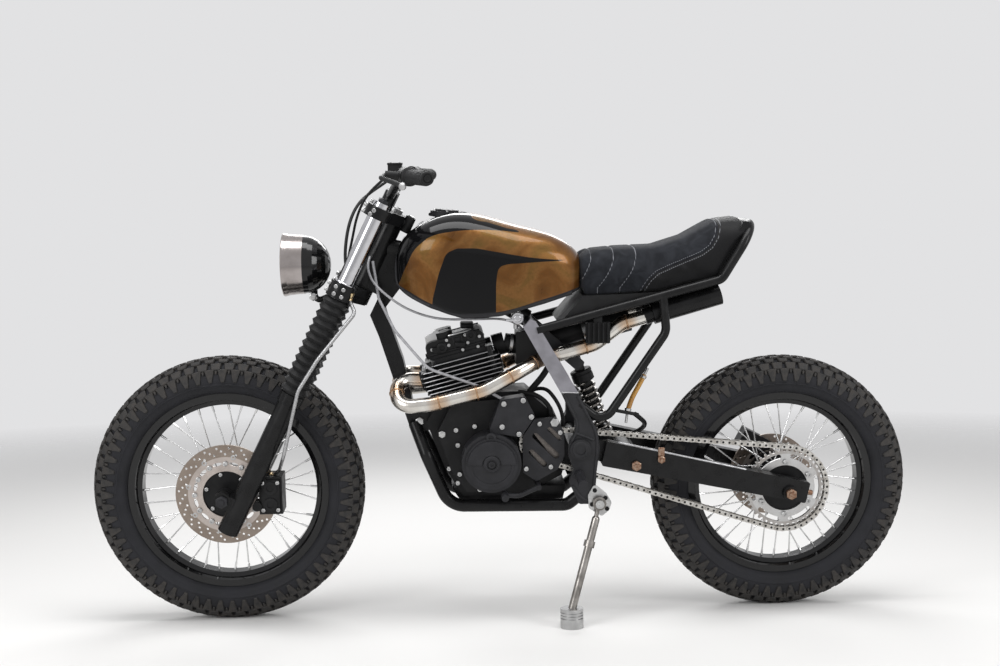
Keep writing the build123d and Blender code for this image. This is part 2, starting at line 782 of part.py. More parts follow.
def shock():
    """The single shock absorber with its coil spring as a stack of rings."""
    top = Vector(SHOCK_TOP[0], 0, SHOCK_TOP[1])
    low = Vector(SHOCK_LOW[0], 0, SHOCK_LOW[1])
    run = (low - top).normalized()
    body = rod(tuple(top), tuple(low), 26)
    body = body + rod(tuple(top + run * 18), tuple(top + run * 50), SPRING_D + 4)
    body = body + rod(tuple(low - run * 18), tuple(low), SPRING_D - 4)
    for i in range(SHOCK_COILS):
        at = top + run * (60 + SPRING_PITCH * i)
        body = body + rod(tuple(at), tuple(at + run * SPRING_WIRE), SPRING_D)
    eye = SHOCK_EAR_Y - SEAT_GAP
    lug = rod(tuple(low), tuple(ARM_FRONT + (ARM_REAR - ARM_FRONT).normalized() * 130), 24)
    return body + lug + rod_y(SHOCK_TOP[0], SHOCK_TOP[1], -eye, eye, 12)


# Engine

CASE = ((205, 520), (165, 592), (-50, 598), (-126, 530), (-126, 392), (-40, 326), (115, 326), (162, 405))


CASE_LEFT = ((178, 500), (140, 575), (-6, 585), (-14, 420), (20, 345), (105, 345), (146, 405))
CASE_RIGHT = (
    (170, 510), (130, 580), (-60, 580), (-110, 500), (-100, 400), (-20, 345), (105, 345), (146, 405),
)


def crankcase():
    """The engine's lower block with its output shaft and sprocket."""
    body = plate(CASE, -CASE_HALF_W, CASE_HALF_W, 8)
    left = plate(CASE_LEFT, CASE_HALF_W - 1, 86, 6)
    right = plate(CASE_RIGHT, -92, 1 - CASE_HALF_W, 6)
    shaft = rod_y(*OUTPUT_SHAFT, CASE_HALF_W - 1, CHAIN_Y + 8, 12)
    return fused([body, left, right, shaft])


def front_sprocket_on(body):
    """The crankcase with the output sprocket on its shaft."""
    return body + sprocket(*OUTPUT_SHAFT, FRONT_TEETH, 11)


STARTER_COVER = ((20, 590), (-40, 598), (-66, 546), (-30, 494), (50, 508))


def side_covers():
    """Generator cover and gear cover on the left, clutch cover on the right."""
    x, z = GENERATOR
    generator = rod_y(x, z, 86, COVER_Y - 6, GENERATOR_R) + rod_y(x, z, COVER_Y - 7, COVER_Y, GENERATOR_R - 9)
    generator = generator + ring_y(x, z, COVER_Y - 1, COVER_Y + 1.5, 56, 50)
    generator = generator + rod_y(x, z, COVER_Y - 1, COVER_Y + 2, 22)
    starter = plate(STARTER_COVER, 86, 126, 7) - rod_y(x, z, 80, 160, GENERATOR_R + SEAT_GAP)
    clutch = rod_y(-20, 470, -132, -92, 78) + rod_y(92, 452, -120, -92, 66)
    return [generator, starter, clutch]


SPROCKET_COVER = (
    (-36, 490), (-66, 535), (-122, 538), (-140, 500), (-141, 440), (-124, 404), (-70, 374), (-36, 398),
)
COVER_POSTS = ((-68, 526), (-106, 526), (-44, 408))
SLOTS = (((-68, 491), (-120, 440), 8), ((-104, 508), (-129, 484), 6), ((-58, 450), (-90, 418), 7))


def sprocket_cover():
    """The pierced cover over the output sprocket, on three posts."""
    body = plate(SPROCKET_COVER, 94, 104, 8)
    for start, end, half in SLOTS:
        a, b = Vector(start[0], 80, start[1]), Vector(end[0], 80, end[1])
        cut = rod_y(*start, 80, 130, half) + rod_y(*end, 80, 130, half)
        cut = cut + slot_bar(a, b, half)
        body = body - cut
    for px, pz in COVER_POSTS:
        body = body + rod_y(px, pz, CASE_HALF_W, 95, 6)
    return body


def slot_bar(a, b, half):
    """A straight cut between two round ends, along y."""
    run = (b - a).normalized()
    across = Vector(run.Z, 0, -run.X) * half
    corners = [a + across, b + across, b - across, a - across]
    return plate([(c.X, c.Z) for c in corners], 80, 130)


CYLINDER = Plane(
    origin=(CYLINDER_BASE[0], 0, CYLINDER_BASE[1]),
    x_dir=(math.cos(math.radians(CYLINDER_TILT)), 0, -math.sin(math.radians(CYLINDER_TILT))),
    z_dir=(math.sin(math.radians(CYLINDER_TILT)), 0, math.cos(math.radians(CYLINDER_TILT))),
)

# Fins from the crankcase up: length, width
FINS = ((190, 160), (196, 168), (200, 172), (202, 174), (204, 176), (204, 176), (198, 170), (180, 150))


def engine_cylinder():
    """Finned cylinder and head with the rocker cover, leaning forward."""
    bottom = (Align.CENTER, Align.CENTER, Align.MIN)
    stack = Box(132, 128, 100, align=bottom)
    for i, (length, width) in enumerate(FINS):
        fin = Pos(6, 0, 8 + i * FIN_PITCH) * Box(length, width, FIN_T, align=bottom)
        stack = stack + fin
    cover = Pos(6, 0, 98) * Box(150, 116, 46, align=bottom)
    cover = fillet(cover.edges().filter_by(Axis.Y), 14)
    stack = stack + cover
    for side in SIDES:
        port = Pos(98, side * 48, 54) * Rot(Y=90) * Cylinder(25, 30)
        cap = Pos(30, side * 30, 138) * Cylinder(22, 22, align=bottom)
        stack = stack + port + cap
    inlet = Pos(-100, 0, 86) * Rot(Y=-90) * Cylinder(28, 30)
    return CYLINDER * (stack + inlet)


# The left header's corners from the port back: x, y, z, and the bend at each corner
PIPE = (
    (206, 49, 629), (282, 54, 634), (272, 122, 574), (190, 124, 582), (63, 124, 612), (-19, 108, 652),
    (-81, 74, 680), (-221, 70, 717), (-292, 70, 770), (-346, 70, 784),
)
PIPE_BENDS = (40, 40, 40, 90, 60, 60, 60, 50)
MUFFLER = ((-352, 784), (-536, 840))


def pipe():
    """The left exhaust header, looped forward and swept back under the tank."""
    return tube(list(PIPE), PIPE_D, list(PIPE_BENDS))


def muffler():
    """The short black muffler at the end of a header, with an open tail."""
    a = Vector(*PIPE[-1])
    b = Vector(MUFFLER[0][0] - 14, PIPE[-1][1], MUFFLER[0][1] + 8)
    c = Vector(MUFFLER[1][0], PIPE[-1][1], MUFFLER[1][1])
    body = rod(tuple(b), tuple(c), MUFFLER_D) + rod(tuple(a), tuple(b), PIPE_D + 6)
    back = (b - c).normalized()
    return body - rod(tuple(c - back), tuple(c + back * 60), MUFFLER_D - 12)


def intake():
    """Carburettor, its rubber boots and the cone filter."""
    port = CYLINDER.from_local_coords(Vector(-115, 0, 86))
    carb = Vector(port.X - 60, 0, port.Z - 10)
    filter_front = Vector(-194, 0, 742)
    filter_back = Vector(-316, 0, 774)
    boot = rod(tuple(port), tuple(carb), 50)
    body = Pos(*carb) * Box(64, 70, 84)
    duct = rod(tuple(carb), tuple(filter_front), 50)
    cone = rod(tuple(filter_front), tuple(filter_back), 70)
    return fused([boot, body, duct, cone])


# Tank sections from the nose back: x, half width, underside, top, upper corner, lower corner
TANK = (
    (272, 60, 872, 950, 30, 10),
    (244, 94, 850, 998, 52, 14),
    (190, 124, 822, 1032, 76, 16),
    (110, 138, 796, 1048, 92, 16),
    (20, 136, 800, 1030, 88, 16),
    (-90, 116, 827, 1000, 74, 16),
    (-160, 92, 846, 966, 52, 14),
    (-182, 70, 856, 944, 38, 12),
)


def tank_section(x, half, low, high, upper, lower):
    """One cross-section of the tank."""
    plane = Plane(origin=(x, 0, (low + high) / 2), x_dir=(0, 1, 0), z_dir=(1, 0, 0))
    face = Rectangle(2 * half, high - low)
    corners = face.vertices().sort_by(Axis.Y)
    face = fillet(corners[2:], upper * 0.98)
    corners = face.vertices().sort_by(Axis.Y)
    return plane * fillet(corners[:2], lower)


def fuel_tank():
    """The fuel tank, lofted through its sections, with a tunnel for the spine."""
    body = loft([tank_section(*row) for row in TANK])
    half = TUNNEL_HALF
    tunnel = plate([(300, 780), (300, 992), (220, 986), (-60, 848), (-200, 826), (-200, 700)], -half, half)
    return body - tunnel - cap_seat()


def cap_plane():
    """The plane of the fuel cap's seat on the tank's top."""
    run, rise = math.cos(CAP_SLOPE), math.sin(CAP_SLOPE)
    return Plane(origin=(CAP_X, 0, CAP_Z), x_dir=(run, 0, rise), z_dir=(-rise, 0, run))


def cap_seat():
    """What is cut from the tank to seat the cap."""
    bottom = (Align.CENTER, Align.CENTER, Align.MIN)
    return cap_plane() * Cylinder(CAP_R + 8, 60, align=bottom)


def fuel_cap():
    """The flush fuel cap."""
    bottom = (Align.CENTER, Align.CENTER, Align.MIN)
    body = Cylinder(CAP_R, CAP_H, align=bottom) + Pos(0, 0, CAP_H) * Cylinder(CAP_R - 12, 5, align=bottom)
    knuckle = Pos(CAP_R, 0, SEAT_GAP + CAP_HINGE_R) * Rot(X=90) * Cylinder(CAP_HINGE_R, 26)
    return cap_plane() * (Pos(0, 0, SEAT_GAP) * body + knuckle)


SEAT_HALF_W = 100
SEAT_BASE = ((-188, 842), (-378, 850), (-517, 888))
SEAT_TOP = ((-599, 1019), (-584, 1033), (-524, 1018), (-451, 979), (-376, 956), (-278, 953), (-186, 945))


def seat():
    """The seat's pad, kicked up at the tail."""
    return plate(SEAT_BASE + SEAT_TOP, -SEAT_HALF_W, SEAT_HALF_W, 6)


PAN_UNDER = ((-508, 868), (-128, 774))


def seat_pan():
    """The closed tray under the seat, between the rails."""
    half = RAIL_Y - RAIL_D / 2 - SEAT_GAP
    top = [(x, z - SEAT_GAP) for x, z in SEAT_BASE]
    return plate(top + list(PAN_UNDER), -half, half)


def tank_seam():
    """The welded lip along the tank's lower edge, left side."""
    points = [(x, half - 4, low + 4) for x, half, low, *_ in TANK[:-1]]
    return tube(points, 10, 60)


PETCOCK = (-22, 84, 792)


def petcock():
    """The fuel tap under the tank."""
    x, y, z = PETCOCK
    body = rod((x, y, z + 40), (x, y, z - 12), 22) + rod_y(x, z, y, y + 34, 9)
    return body + rod((x, y, z - 10), (x, y, z - 30), 12)


REGULATOR = (-224, 108, 752)
REGULATOR_FINS = 5


def regulator():
    """The finned regulator, hung from the seat's rail."""
    x, y, z = REGULATOR
    body = Pos(x, y, z) * Box(60, 12, 52) + Pos(x, y, z + 33) * Box(20, 10, 22)
    for i in range(REGULATOR_FINS):
        body = body + Pos(x - 24 + 12 * i, y + 9, z) * Box(4, 8, 52)
    return body


PEG = (-176, 394)


def peg(side):
    """A folding footrest on its hanger."""
    x, z = PEG
    inner = PLATE_INNER_Y + PLATE_T
    hanger = rod_y(x, z, inner, inner + 16, 12)
    bar = rod_y(x, z, inner + 14, inner + 92, 11)
    body = hanger + bar
    return body if side > 0 else mirrored(body)


def gear_lever():
    """The gear lever on the left of the crankcase."""
    x, z = -74, 364
    toe = (12, 350)
    shaft = rod_y(x, z, CASE_HALF_W, 128, 7)
    lever = tube([(x, 122, z), (-24, 128, 344), (toe[0], 136, toe[1])], 12, 40)
    return shaft + lever + rod_y(*toe, 130, 168, 9)


def brake_pedal():
    """The rear brake's pedal on the right pivot plate."""
    x, z = -190, 352
    inner = -(PLATE_INNER_Y + PLATE_T)
    boss = rod_y(x, z, inner - 18, inner, 11)
    lever = tube([(x, inner - 12, z), (-110, inner - 14, 326), (60, inner - 14, 322)], 13, 40)
    return boss + lever + rod_y(60, 322, inner - 44, inner - 6, 10)


def rear_caliper():
    """The rear brake's caliper and its arm on the right of the swingarm."""
    middle = REAR_DISC_Y - DISC_T / 2
    angle = math.radians(62)
    reach = REAR_DISC_R - 12
    cx, cz = REAR_X + reach * math.cos(angle), REAR_TYRE_R + reach * math.sin(angle)
    body = Pos(cx, middle - 6, cz) * Rot(Y=-28) * Box(84, 44, 50)
    gap = DISC_T / 2 + 2
    slot = ring_y(REAR_X, REAR_TYRE_R, middle - gap, middle + gap, REAR_DISC_R + 3, 30)
    room = rod_y(REAR_X, REAR_TYRE_R, middle - 12, -30, 70)
    run = (ARM_REAR - ARM_FRONT).normalized()
    at = ARM_REAR - run * 76
    arm = plate(
        [(at.X - 14, at.Z), (at.X + 14, at.Z), (cx + 12, cz - 6), (cx - 16, cz - 10)], -ARM_INNER_Y, middle - 18
    )
    pad = rod((at.X, -ARM_INNER_Y, at.Z), (at.X, middle - 18, at.Z), 22)
    return (body + arm + pad) - slot - room


BRACKET = ((-198, 342), (-214, 371), (-244, 346), (-258, 322), (-252, 302), (-233, 286), (-200, 308))


def stand_bracket():
    """The bright plate the side stand swings on."""
    y0 = PLATE_INNER_Y + PLATE_T
    body = plate(BRACKET, y0, STAND_PIVOT[1] - 5, 8)
    pin = rod_y(STAND_PIVOT[0], STAND_PIVOT[2], STAND_PIVOT[1] - 6, STAND_PIVOT[1] + 12, 6)
    head = rod_y(STAND_PIVOT[0], STAND_PIVOT[2], STAND_PIVOT[1] + 7.5, STAND_PIVOT[1] + 14, 11)
    return body + pin + head


def stand_leg():
    """The side stand's leg, in its place on the parked machine."""
    foot = (FOOT_AT[0], FOOT_AT[1], FOOT_H - 6)
    eye = PARK * rod_y(STAND_PIVOT[0], STAND_PIVOT[2], STAND_PIVOT[1] - 4, STAND_PIVOT[1] + 7, 17)
    knee = parked_point((STAND_PIVOT[0] + 10, STAND_PIVOT[1] + 6, STAND_PIVOT[2] - 40))
    leg = rod(tuple(knee), foot, LEG_D)
    start = parked_point((STAND_PIVOT[0] + 4, STAND_PIVOT[1] + 1.5, STAND_PIVOT[2] - 10))
    neck = rod(tuple(start), tuple(knee), 11)
    joint = Pos(*knee) * Sphere(LEG_D / 2)
    collar_low = Vector(*foot) + (knee - Vector(*foot)).normalized() * 160
    collar = rod(tuple(collar_low), tuple(collar_low + (knee - collar_low).normalized() * 16), LEG_D + 8)
    body = fused([eye, neck, joint, leg, collar])
    pin = PARK * rod_y(STAND_PIVOT[0], STAND_PIVOT[2], STAND_PIVOT[1] - 30, STAND_PIVOT[1] + 30, 6 + RUN_GAP)
    head = PARK * rod_y(STAND_PIVOT[0], STAND_PIVOT[2], STAND_PIVOT[1] + 7, STAND_PIVOT[1] + 16, 13)
    return body - pin - head - stand_foot()


def stand_foot():
    """The piston that serves as the stand's foot."""
    bottom = (Align.CENTER, Align.CENTER, Align.MIN)
    body = Pos(FOOT_AT[0], FOOT_AT[1], 0) * Cylinder(FOOT_R, FOOT_H, align=bottom)
    for level in (FOOT_H - 10, FOOT_H - 17, FOOT_H - 24):
        groove = Cylinder(FOOT_R + 1, 2.4, align=bottom) - Cylinder(FOOT_R - 2.5, 2.4, align=bottom)
        body = body - Pos(FOOT_AT[0], FOOT_AT[1], level) * groove
    return body


# Front brake hose: ahead of the fork leg, left, up the leg
HOSE = (
    (-26, 114, 592), (-54, 146, 572), (-20, 155, 430), (-10, 153, 340), (-46, 136, 170),
    (-50, 86, 122), (-38, 70, 92),
)


def brake_hose():
    """The front brake's hose, from the lower clamp down past the left gaiter to the caliper."""
    return tube([tuple(fork_point(*p)) for p in HOSE], 9, [16, 60, 60, 34, 16])


def clutch_cable():
    """The clutch cable's fixed run, from the neck to the crankcase."""
    points = [(332, 34, 930), (318, 62, 840), (280, 70, 760), (198, 104, 668), (72, 98, 620), (8, 106, 584)]
    return tube(points, 7, [40, 60, 60, 60])


def build_nodes():
    """Every node's solids, upright."""
    nodes = {}
    # name, x, tyre radius, bead radius, disc's seat, hub's other end, disc radius, sprocket carrier radius
    wheels = (
        ("front", FRONT_X, FRONT_TYRE_R, FRONT_BEAD_R, FRONT_DISC_Y, -48, FRONT_DISC_R, 0),
        ("rear", REAR_X, REAR_TYRE_R, REAR_BEAD_R, REAR_DISC_Y, SPROCKET_SEAT, REAR_DISC_R, CARRIER_R),
    )
    for name, x, tyre_r, bead_r, disc_y, far_y, disc_r, carrier_r in wheels:
        hub_body = hub(x, tyre_r, disc_y, far_y, carrier_r)
        rim_body = rim(x, tyre_r, bead_r)
        nodes[name + "_tyre"] = [tyre(x, tyre_r, bead_r)]
        nodes[name + "_rim"] = [rim_body]
        nodes[name + "_hub"] = [hub_body]
        nodes[name + "_spokes"] = spokes(x, tyre_r, bead_r, hub_body, rim_body)
        nodes[name + "_disc"] = [disc(x, tyre_r, disc_y, disc_r)]
    nodes["rear_sprocket"] = [rear_sprocket()]

    stanchions = [fork_rod(0, s * FORK_HALF_SPACING, SLIDER_TOP, FORK_TOP, STANCHION_R) for s in SIDES]
    bar = handlebar_tube(0)
    shell = lamp_shell()
    nodes["fork_stanchions"] = stanchions
    nodes["fork_sliders"] = [fork_sliders()]
    nodes["fork_gaiters"] = [gaiter(1), gaiter(-1)]
    nodes["lower_clamp"] = without([lower_clamp()], shell)
    nodes["top_clamp"] = [top_clamp()]
    nodes["handlebar"] = [bar]
    nodes["grips"] = [grip(1), grip(-1)]
    nodes["bar_controls"] = controls()
    nodes["lamp_shell"] = [shell]
    nodes["lamp_bezel"] = [lamp_bezel()]
    nodes["lamp_lens"] = [lamp_lens()]
    caliper = front_caliper()
    nodes["front_caliper"] = [caliper]
    nodes["front_brake_hose"] = without([brake_hose()], caliper, nodes["lower_clamp"][0])

    head = head_frame()
    plates = side_plates()
    struts = without(both(side_strut()), plates)
    stem_bore = fork_rod(-STEM_OFFSET, 0, LOWER_CLAMP[0], TOP_CLAMP[0], HEAD_TUBE_R - 1)
    down = downtube() - turning_room() - head - stem_bore
    head = without([head], plates, *struts)[0]
    rail = without([hoop()], plates, *struts)[0]
    nodes["frame_head"] = [head]
    nodes["frame_cradle"] = [fused([down, *both(cradle_tube())]) - plates]
    nodes["frame_side_plates"] = [plates]
    nodes["frame_side_struts"] = struts
    nodes["subframe_hoop"] = [rail]
    nodes["subframe_struts"] = without(both(rail_strut()), plates, *struts, rail)

    arm = swingarm()
    case = front_sprocket_on(crankcase())
    cylinder = engine_cylinder() - case
    left_pipe = pipe()
    tail = muffler() - left_pipe
    nodes["swingarm"] = [arm]
    nodes["chain"] = [chain()]
    nodes["shock_absorber"] = without([shock()], arm, plates, *struts)
    nodes["engine_crankcase"] = [case]
    nodes["frame_cradle"] = without(nodes["frame_cradle"], case)
    nodes["engine_side_covers"] = side_covers()
    nodes["sprocket_cover"] = without([sprocket_cover()], case)
    nodes["engine_cylinder"] = [cylinder]
    nodes["intake"] = without([intake()], cylinder)
    nodes["exhaust_pipes"] = without(both(left_pipe), cylinder)
    nodes["mufflers"] = both(tail)
    tank = fuel_tank()
    nodes["fuel_tank"] = [fused([tank, *both(tank_seam())])]
    nodes["fuel_cap"] = [fuel_cap()]
    nodes["petcock"] = without([petcock()], nodes["fuel_tank"][0])
    nodes["seat"] = [seat()]
    nodes["seat_pan"] = [seat_pan()]
    nodes["regulator"] = without([regulator()], rail)
    nodes["foot_controls"] = [peg(1), peg(-1), gear_lever(), brake_pedal()]
    nodes["rear_caliper"] = [rear_caliper()]
    nodes["stand_bracket"] = [stand_bracket()]
    nodes["clutch_cable"] = without([clutch_cable()], *nodes["engine_side_covers"])
    return nodes


def main():
    """Builds, parks and writes every node."""
    os.makedirs("parts", exist_ok=True)
    parked = {name: [PARK * solid for solid in solids] for name, solids in build_nodes().items()}
    parked["side_stand_leg"] = [stand_leg()]
    parked["side_stand_foot"] = [stand_foot()]
    for name, solids in parked.items():
        children = [solid for shape in solids for solid in shape.solids()]
        export_step(Compound(children=children), f"parts/{name}.step")


if __name__ == "__main__":
    main()
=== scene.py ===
"""Scrambler motorcycle leaning on its side stand: finishes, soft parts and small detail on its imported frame.

Lengths in the tables are in millimetres of the upright machine, x forward, y to the rider's left, z up from
the floor. Every new piece is modelled upright and then leaned over with the machine.
"""

from __future__ import annotations

import json
import logging
import math
from contextlib import contextmanager
from dataclasses import dataclass
from enum import Enum
from functools import cached_property
from typing import Callable, Iterator, Sequence

import bmesh
import bpy
import numpy as np
from mathutils import Matrix, Vector

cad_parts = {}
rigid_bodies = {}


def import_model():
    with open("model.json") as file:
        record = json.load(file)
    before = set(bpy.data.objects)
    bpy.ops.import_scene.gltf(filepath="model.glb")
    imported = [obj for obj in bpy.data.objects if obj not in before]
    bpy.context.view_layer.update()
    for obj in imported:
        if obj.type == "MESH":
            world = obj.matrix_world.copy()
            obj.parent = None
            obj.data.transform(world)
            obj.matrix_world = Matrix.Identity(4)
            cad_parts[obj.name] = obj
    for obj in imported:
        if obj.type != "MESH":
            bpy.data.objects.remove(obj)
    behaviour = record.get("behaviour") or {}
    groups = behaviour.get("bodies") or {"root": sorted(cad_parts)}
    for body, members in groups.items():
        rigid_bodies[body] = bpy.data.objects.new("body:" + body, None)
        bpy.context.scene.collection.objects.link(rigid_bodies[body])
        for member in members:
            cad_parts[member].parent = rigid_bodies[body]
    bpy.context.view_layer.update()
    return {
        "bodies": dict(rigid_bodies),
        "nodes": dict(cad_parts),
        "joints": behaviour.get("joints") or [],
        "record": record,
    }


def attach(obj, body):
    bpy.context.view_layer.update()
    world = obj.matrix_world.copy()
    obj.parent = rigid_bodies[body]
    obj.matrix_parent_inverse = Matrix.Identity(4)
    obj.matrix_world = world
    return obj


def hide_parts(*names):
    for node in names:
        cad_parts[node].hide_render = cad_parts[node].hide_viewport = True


LOG = logging.getLogger("scrambler")
MM = 0.001
WHOLE_TURN = 2 * math.pi
Point = tuple[float, float, float]
Pair = tuple[float, float]
Piece = bpy.types.Object
Socket = bpy.types.NodeSocket


@dataclass(frozen=True)
class Stance:
    """How the machine stands: the sizes that place every piece."""

    lean: float = math.radians(8.3)
    wheelbase: float = 1427.0
    rake: float = math.radians(26.5)
    front_r: float = 346.0
    rear_r: float = 335.0
    front_bead: float = 241.3
    rear_bead: float = 228.6
    axle_lead: float = 44.0
    stem_offset: float = 38.0

    @property
    def front(self) -> Pair:
        """The front axle's x and z."""
        return (self.wheelbase / 2, self.front_r)

    @property
    def rear(self) -> Pair:
        """The rear axle's x and z."""
        return (-self.wheelbase / 2, self.rear_r)

    def park(self) -> Matrix:
        """The move, in metres, from the upright machine to the parked one."""
        return Matrix.Rotation(-self.lean, 4, "X")

    def fork(self, ahead: float, left: float, up: float) -> Point:
        """A point given along the fork leg.

        Args:
            ahead: millimetres in front of the leg's axis.
            left: millimetres to the rider's left.
            up: millimetres up the leg from the axle's level.

        Returns:
            The point on the upright machine, in millimetres.
        """
        s, c = math.sin(self.rake), math.cos(self.rake)
        x = self.front[0] + (ahead - self.axle_lead) * c - up * s
        z = self.front[1] + (ahead - self.axle_lead) * s + up * c
        return (x, left, z)


STANCE = Stance()
LEFT: Point = (0.0, 1.0, 0.0)
RIGHT: Point = (0.0, -1.0, 0.0)
SIDES: tuple[int, int] = (1, -1)


class Body(Enum):
    """The rigid bodies that pieces ride on."""

    CHASSIS = "chassis"
    STEERING = "steering"
    FRONT_WHEEL = "front_wheel"
    REAR_WHEEL = "rear_wheel"
    CAP = "fuel_cap"


class Bench:
    """Modelling by hand: small wrappers around the mesh operators."""

    # A bolt's head, as shares of its radius or height: the rim's width and rise, the wall inside it, and the
    # socket's depth or the stub's height
    RIM = 0.12
    WALL = 0.33
    SOCKET = -0.5
    STUB = 0.35

    @staticmethod
    def clear() -> None:
        """Deselects everything."""
        bpy.ops.object.select_all(action="DESELECT")

    @classmethod
    def alone(cls, obj: Piece) -> None:
        """Makes one object the only one selected, and active."""
        cls.clear()
        obj.select_set(True)
        bpy.context.view_layer.objects.active = obj

    @staticmethod
    @contextmanager
    def editing() -> Iterator[None]:
        """Edit mode on the active object, with all of it selected at the start."""
        bpy.ops.object.mode_set(mode="EDIT")
        bpy.ops.mesh.select_all(action="SELECT")
        yield
        bpy.ops.object.mode_set(mode="OBJECT")

    @classmethod
    def modified(cls, obj: Piece, kind: str, **settings: object) -> None:
        """Puts a modifier on an object and applies it.

        Args:
            obj: the object.
            kind: the modifier's type.
            settings: the modifier's settings, by name.
        """
        cls.alone(obj)
        mod = obj.modifiers.new(kind.lower(), kind)
        for name, value in settings.items():
            setattr(mod, name, value)
        bpy.ops.object.modifier_apply(modifier=mod.name)

    @staticmethod
    def read(obj: Piece) -> np.ndarray:
        """The places of an object's vertices, in metres."""
        co = np.empty(len(obj.data.vertices) * 3)
        obj.data.vertices.foreach_get("co", co)
        return co.reshape(-1, 3)

    @staticmethod
    def write(obj: Piece, co: np.ndarray) -> None:
        """Moves an object's vertices to new places, in metres."""
        obj.data.vertices.foreach_set("co", co.ravel())
        obj.data.update()

    @staticmethod
    def _named(name: str) -> Piece:
        """Names the primitive that was just added, and its mesh."""
        obj = bpy.context.object
        obj.name = name
        obj.data.name = name
        return obj

    @staticmethod
    def _moved(obj: Piece, move: Matrix) -> Piece:
        """Moves the active object, and puts the move into its mesh."""
        obj.matrix_world = move
        bpy.ops.object.transform_apply(location=True, rotation=True, scale=True)
        return obj

    @staticmethod
    def _facing(axis: Sequence[float]) -> Matrix:
        """The turn that takes the z axis to a direction."""
        return Vector((0, 0, 1)).rotation_difference(Vector(axis)).to_matrix().to_4x4()

    @classmethod
    def aimed(cls, at: Sequence[float], axis: Sequence[float], spin: float = 0.0) -> Matrix:
        """The move that takes a piece's own z axis to a place and direction.

        Args:
            at: the place, in millimetres.
            axis: the direction.
            spin: a turn about that direction first, in radians.

        Returns:
            The move, in metres.
        """
        return Matrix.Translation(Vector(at) * MM) @ cls._facing(axis) @ Matrix.Rotation(spin, 4, "Z")

    @staticmethod
    def pick(obj: Piece, test: Callable[[Vector, Vector], bool]) -> None:
        """Selects, in edit mode, the faces whose centre and normal pass a test, and no others."""
        bpy.ops.mesh.select_mode(type="FACE")
        bpy.ops.mesh.select_all(action="DESELECT")
        mesh = bmesh.from_edit_mesh(obj.data)
        for face in mesh.faces:
            face.select_set(test(face.calc_center_median(), face.normal))
        bmesh.update_edit_mesh(obj.data)

    @classmethod
    def block(cls, name: str, size: Point, at: Point, bevel: float, steps: int = 2) -> Piece:
        """A box with softened edges.

        Args:
            name: the object's name.
            size: its three sides, in millimetres.
            at: its centre, in millimetres.
            bevel: the width of its edges' rounding, in millimetres.
            steps: how many steps the rounding has.

        Returns:
            The object, its size and place in its mesh.
        """
        cls.clear()
        bpy.ops.mesh.primitive_cube_add(size=1, location=[c * MM for c in at])
        obj = cls._named(name)
        obj.scale = [c * MM for c in size]
        bpy.ops.object.transform_apply(location=True, rotation=False, scale=True)
        with cls.editing():
            bpy.ops.mesh.bevel(offset=bevel * MM, segments=steps)
        return obj

    @classmethod
    def screw(cls, radius: float, height: float, hexed: bool) -> Piece:
        """A bolt's head on the origin, standing up along z: a socket screw, or a hexagon with its stub.

        Args:
            radius: the head's radius, in millimetres.
            height: the head's height, in millimetres.
            hexed: whether it is a hexagon.

        Returns:
            The head, ready to be copied.
        """
        obj = cls.rod("screw", (0, 0, 0), (0, 0, height), radius, 6 if hexed else 16)
        with cls.editing():
            cls.pick(obj, lambda centre, normal: normal.z > 0.9)
            bpy.ops.mesh.inset(thickness=cls.RIM * radius * MM)
            bpy.ops.transform.translate(value=(0, 0, cls.RIM * height * MM))
            bpy.ops.mesh.inset(thickness=cls.WALL * radius * MM)
            depth = (cls.STUB if hexed else cls.SOCKET) * height * MM
            bpy.ops.mesh.extrude_region_move(TRANSFORM_OT_translate={"value": (0, 0, depth)})
        return obj

    @classmethod
    def rod(cls, name: str, start: Sequence[float], end: Sequence[float], radius: float, sides: int,
            bevel: float = 0.0, tip: float | None = None) -> Piece:
        """A round or many-sided bar between two points.

        Args:
            name: the object's name.
            start: one end, in millimetres.
            end: the other end, in millimetres.
            radius: its radius at the start, in millimetres.
            sides: how many sides it has.
            bevel: the rounding of its end edges, in millimetres.
            tip: its radius at the end, where that differs.

        Returns:
            The object, its place in its mesh.
        """
        a, b = Vector(start) * MM, Vector(end) * MM
        cls.clear()
        bpy.ops.mesh.primitive_cone_add(
            vertices=sides, radius1=radius * MM, radius2=(radius if tip is None else tip) * MM,
            depth=(b - a).length,
        )
        obj = cls._named(name)
        if bevel:
            cls.soften(obj, bevel, 50)
        return cls._moved(obj, Matrix.Translation((a + b) / 2) @ cls._facing(b - a))

    @classmethod
    def turned(cls, name: str, outline: Sequence[Pair], at: Point, steps: int, axis: Point = LEFT,
               closed: bool = True) -> Piece:
        """A piece turned on a lathe: an outline spun about an axis.

        Args:
            name: the object's name.
            outline: (along the axis, radius) points, in millimetres.
            at: a point of the axis, in millimetres.
            steps: how many sides the turned piece has.
            axis: the axis's direction.
            closed: whether the outline closes on itself.

        Returns:
            The object, its place in its mesh.
        """
        cls.clear()
        bpy.ops.mesh.primitive_plane_add(size=MM)
        obj = cls._named(name)
        with cls.editing():
            bpy.ops.mesh.delete(type="VERT")
        mesh, count = obj.data, len(outline)
        ends = count if closed else count - 1
        mesh.vertices.add(count)
        mesh.vertices.foreach_set("co", [c * MM for along, r in outline for c in (r, 0, along)])
        mesh.edges.add(ends)
        mesh.edges.foreach_set("vertices", [c for i in range(ends) for c in (i, (i + 1) % count)])
        with cls.editing():
            bpy.ops.mesh.spin(steps=steps, angle=WHOLE_TURN, center=(0, 0, 0), axis=(0, 0, 1))
            bpy.ops.mesh.select_all(action="SELECT")
            bpy.ops.mesh.remove_doubles(threshold=0.02 * MM)
            bpy.ops.mesh.normals_make_consistent(inside=False)
        return cls._moved(obj, cls.aimed(at, axis))

